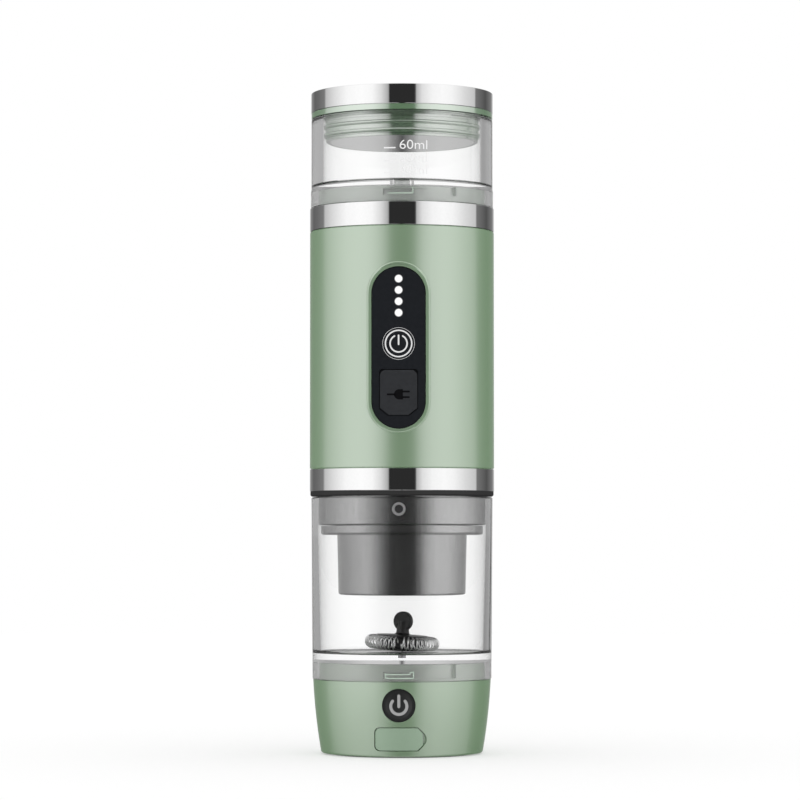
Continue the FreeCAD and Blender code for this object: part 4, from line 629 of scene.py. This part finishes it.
sign_black = finish("sign_black", (0.003, 0.003, 0.004), 0.6, grain=0.1, Specular_IOR_Level=0.1)
plug_sign = [plate(plug_body(0.2, COVER_HEIGHT, half=1.9, length=1.4), cover_place)]
plug_sign.append(mark(*straight((-4.4, COVER_HEIGHT), (-1.2, COVER_HEIGHT)), PLUG_LINE, cover_place))
plug_sign += [mark(*straight((1.4, COVER_HEIGHT + z), (4.2, COVER_HEIGHT + z)), PLUG_LINE, cover_place)
              for z in (-PIN_HALF_GAP, PIN_HALF_GAP)]
new_piece("plug_sign", plug_sign, "port_cover", "black_plastic", material=sign_black)

# %% [markdown]
# The tank's scale is white print: figures with their unit, and a dash at each level. The figures are type,
# made a mesh first and then bent round the tank, where the way along the arc is the letter's place.

# %% Printed scale
TANK_RADIUS, SCALE_STEP = 34.9, 4.7
SCALE = [("60ml", 228.5), ("50ml", 228.5 - SCALE_STEP), ("40ml", 228.5 - 2 * SCALE_STEP)]
TYPE_HEIGHT, TYPE_LEFT, TYPE_WIDTH, TYPE_THIN = 3.5, 0.4, 10.5, -0.004
DASH_LEFT, DASH_RIGHT, DASH_LIFT, DASH_WIDTH = -5.6, -1.1, 0.5, 0.5
on_tank = on_round(TANK_RADIUS)


def type_points(words):
    """The letters' points, flat, and their faces, from Blender's own letterforms with a thickness."""
    letters = bpy.data.curves.new("letters", "FONT")
    letters.body = words
    letters.extrude = 0.5
    letters.resolution_u = 4
    letters.offset = TYPE_THIN
    holder = bpy.data.objects.new("letters", letters)
    bpy.context.scene.collection.objects.link(holder)
    bpy.context.view_layer.update()
    shape = bpy.data.meshes.new_from_object(holder)
    spots = np.empty(len(shape.vertices) * 3)
    shape.vertices.foreach_get("co", spots)
    faces = [list(face.vertices) for face in shape.polygons]
    bpy.data.objects.remove(holder)
    bpy.data.curves.remove(letters)
    bpy.data.meshes.remove(shape)
    return spots.reshape(-1, 3), faces


def type_on_tank(words, foot):
    """Letters scaled to the print's size, with the back sunk a little into the tank's wall."""
    spots, faces = type_points(words)
    low, high = spots.min(axis=0), spots.max(axis=0)
    x = TYPE_LEFT + (spots[:, 0] - low[0]) / (high[0] - low[0]) * TYPE_WIDTH
    z = foot + (spots[:, 1] - low[1]) / (high[1] - low[1]) * TYPE_HEIGHT
    lift = np.where(spots[:, 2] > 0, MARK_RISE, -MARK_ROOT)
    return on_tank(x, z, lift), faces


scale_parts = [type_on_tank(words, foot) for words, foot in SCALE]
scale_parts += [mark(*straight((DASH_LEFT, foot + DASH_LIFT), (DASH_RIGHT, foot + DASH_LIFT)),
                     DASH_WIDTH, on_tank) for words, foot in SCALE]
scale_white = finish("scale_white", (0.9, 0.9, 0.9), 0.4, grain=0.01)
new_piece("printed_scale", scale_parts, "tank", "light_lens", material=scale_white)

# %% [markdown]
# The cup's and the tank's skirts show pale lines where the bayonet locks: a thin box at the cup, a line
# with an end at the tank. They are a painted highlight for the lug edges that catch the light through the
# clear plastic, laid as raised lines on the round skirt.

# %% Painted lug highlights
CUP_SKIRT_RADIUS, TANK_SKIRT_RADIUS, LUG_HIGHLIGHT_LINE = 34.3, 35.1, 0.35
# The pale green of these lines is a painted highlight for lug edges catching the light.
painted_lug_highlight = finish("painted_lug_highlight", (0.5, 0.62, 0.52), 0.4, grain=0.02)


def strokes(points, place):
    """A straight line from each point to the next."""
    return [mark(*straight(start, end), LUG_HIGHLIGHT_LINE, place) for start, end in zip(points, points[1:])]


cup_lug_highlight_path = [(-5.0, 32.0), (-5.0, 30.0), (5.6, 30.0), (5.6, 32.3), (4.3, 32.3), (4.3, 31.4), (-5.0, 31.4)]
tank_lug_highlight_path = [(-3.8, 211.9), (5.4, 211.9), (5.4, 214.2)]
new_piece("cup_painted_lug_highlight", strokes(cup_lug_highlight_path, on_round(CUP_SKIRT_RADIUS)), "cup", "inner_grey",
          material=painted_lug_highlight)
new_piece("tank_painted_lug_highlight", strokes(tank_lug_highlight_path, on_round(TANK_SKIRT_RADIUS)), "tank", "inner_grey",
          material=painted_lug_highlight)

# %% [markdown]
# The housing has a low moulded lip round the control panel. It could be cut into the CAD solid, but it is
# a hair high, so it is a bead here: a small half-round section carried along the panel's outline, a
# rectangle with round ends, and laid on the round body at its own distance from the axis.

# %% Lip round the panel
BODY_RADIUS, PANEL_MIDDLE, PANEL_HALF_WIDTH, PANEL_HALF_RUN = 35.4, 153.85, 10.15, 20.3
LIP_OFFSET, LIP_WIDTH, LIP_RISE = 1.5, 0.8, 0.22


def on_body(x, z, lift):
    """Depth at x is minus the root of the radius squared less x squared, less the lift."""
    return np.stack([x, -np.sqrt(BODY_RADIUS ** 2 - x ** 2) - lift, z], axis=-1)


def panel_outline(share, out):
    """Goes round the panel at a distance: half circle, straight side, half circle, straight side."""
    radius = PANEL_HALF_WIDTH + out
    bend, side = np.pi * radius, 2 * PANEL_HALF_RUN
    way = share * 2 * (bend + side)
    second = way >= bend + side
    way = np.where(second, way - bend - side, way)
    angle = np.minimum(way, bend) / radius
    x, z = radius * np.cos(angle), PANEL_HALF_RUN + radius * np.sin(angle)
    z = np.where(way > bend, PANEL_HALF_RUN - (way - bend), z)
    flip = np.where(second, -1, 1)
    return np.stack([flip * x, PANEL_MIDDLE + flip * z], axis=-1)


def bead(out, width, rise, place, count=220, section=9):
    """Offset outlines side by side, each lifted by the height of a flat half circle at its place."""
    share = np.arange(count) / count
    across = np.linspace(-1, 1, section)
    lines = [panel_outline(share, out + width / 2 * a) for a in across] + [panel_outline(share, out)]
    lifts = [rise * math.sqrt(1 - a * a) for a in across] + [-MARK_ROOT]
    rows = [place(line[:, 0], line[:, 1], lift) for line, lift in zip(lines, lifts)]
    return np.concatenate(rows), grid_faces(section + 1, count, ring=True, loop=True).tolist()


panel_lip = new_piece("panel_lip", [bead(LIP_OFFSET, LIP_WIDTH, LIP_RISE, on_body)], "machine",
                      "sage_shell")
smooth(panel_lip)

# %% [markdown]

# %% Close the lesson
print("lesson done")
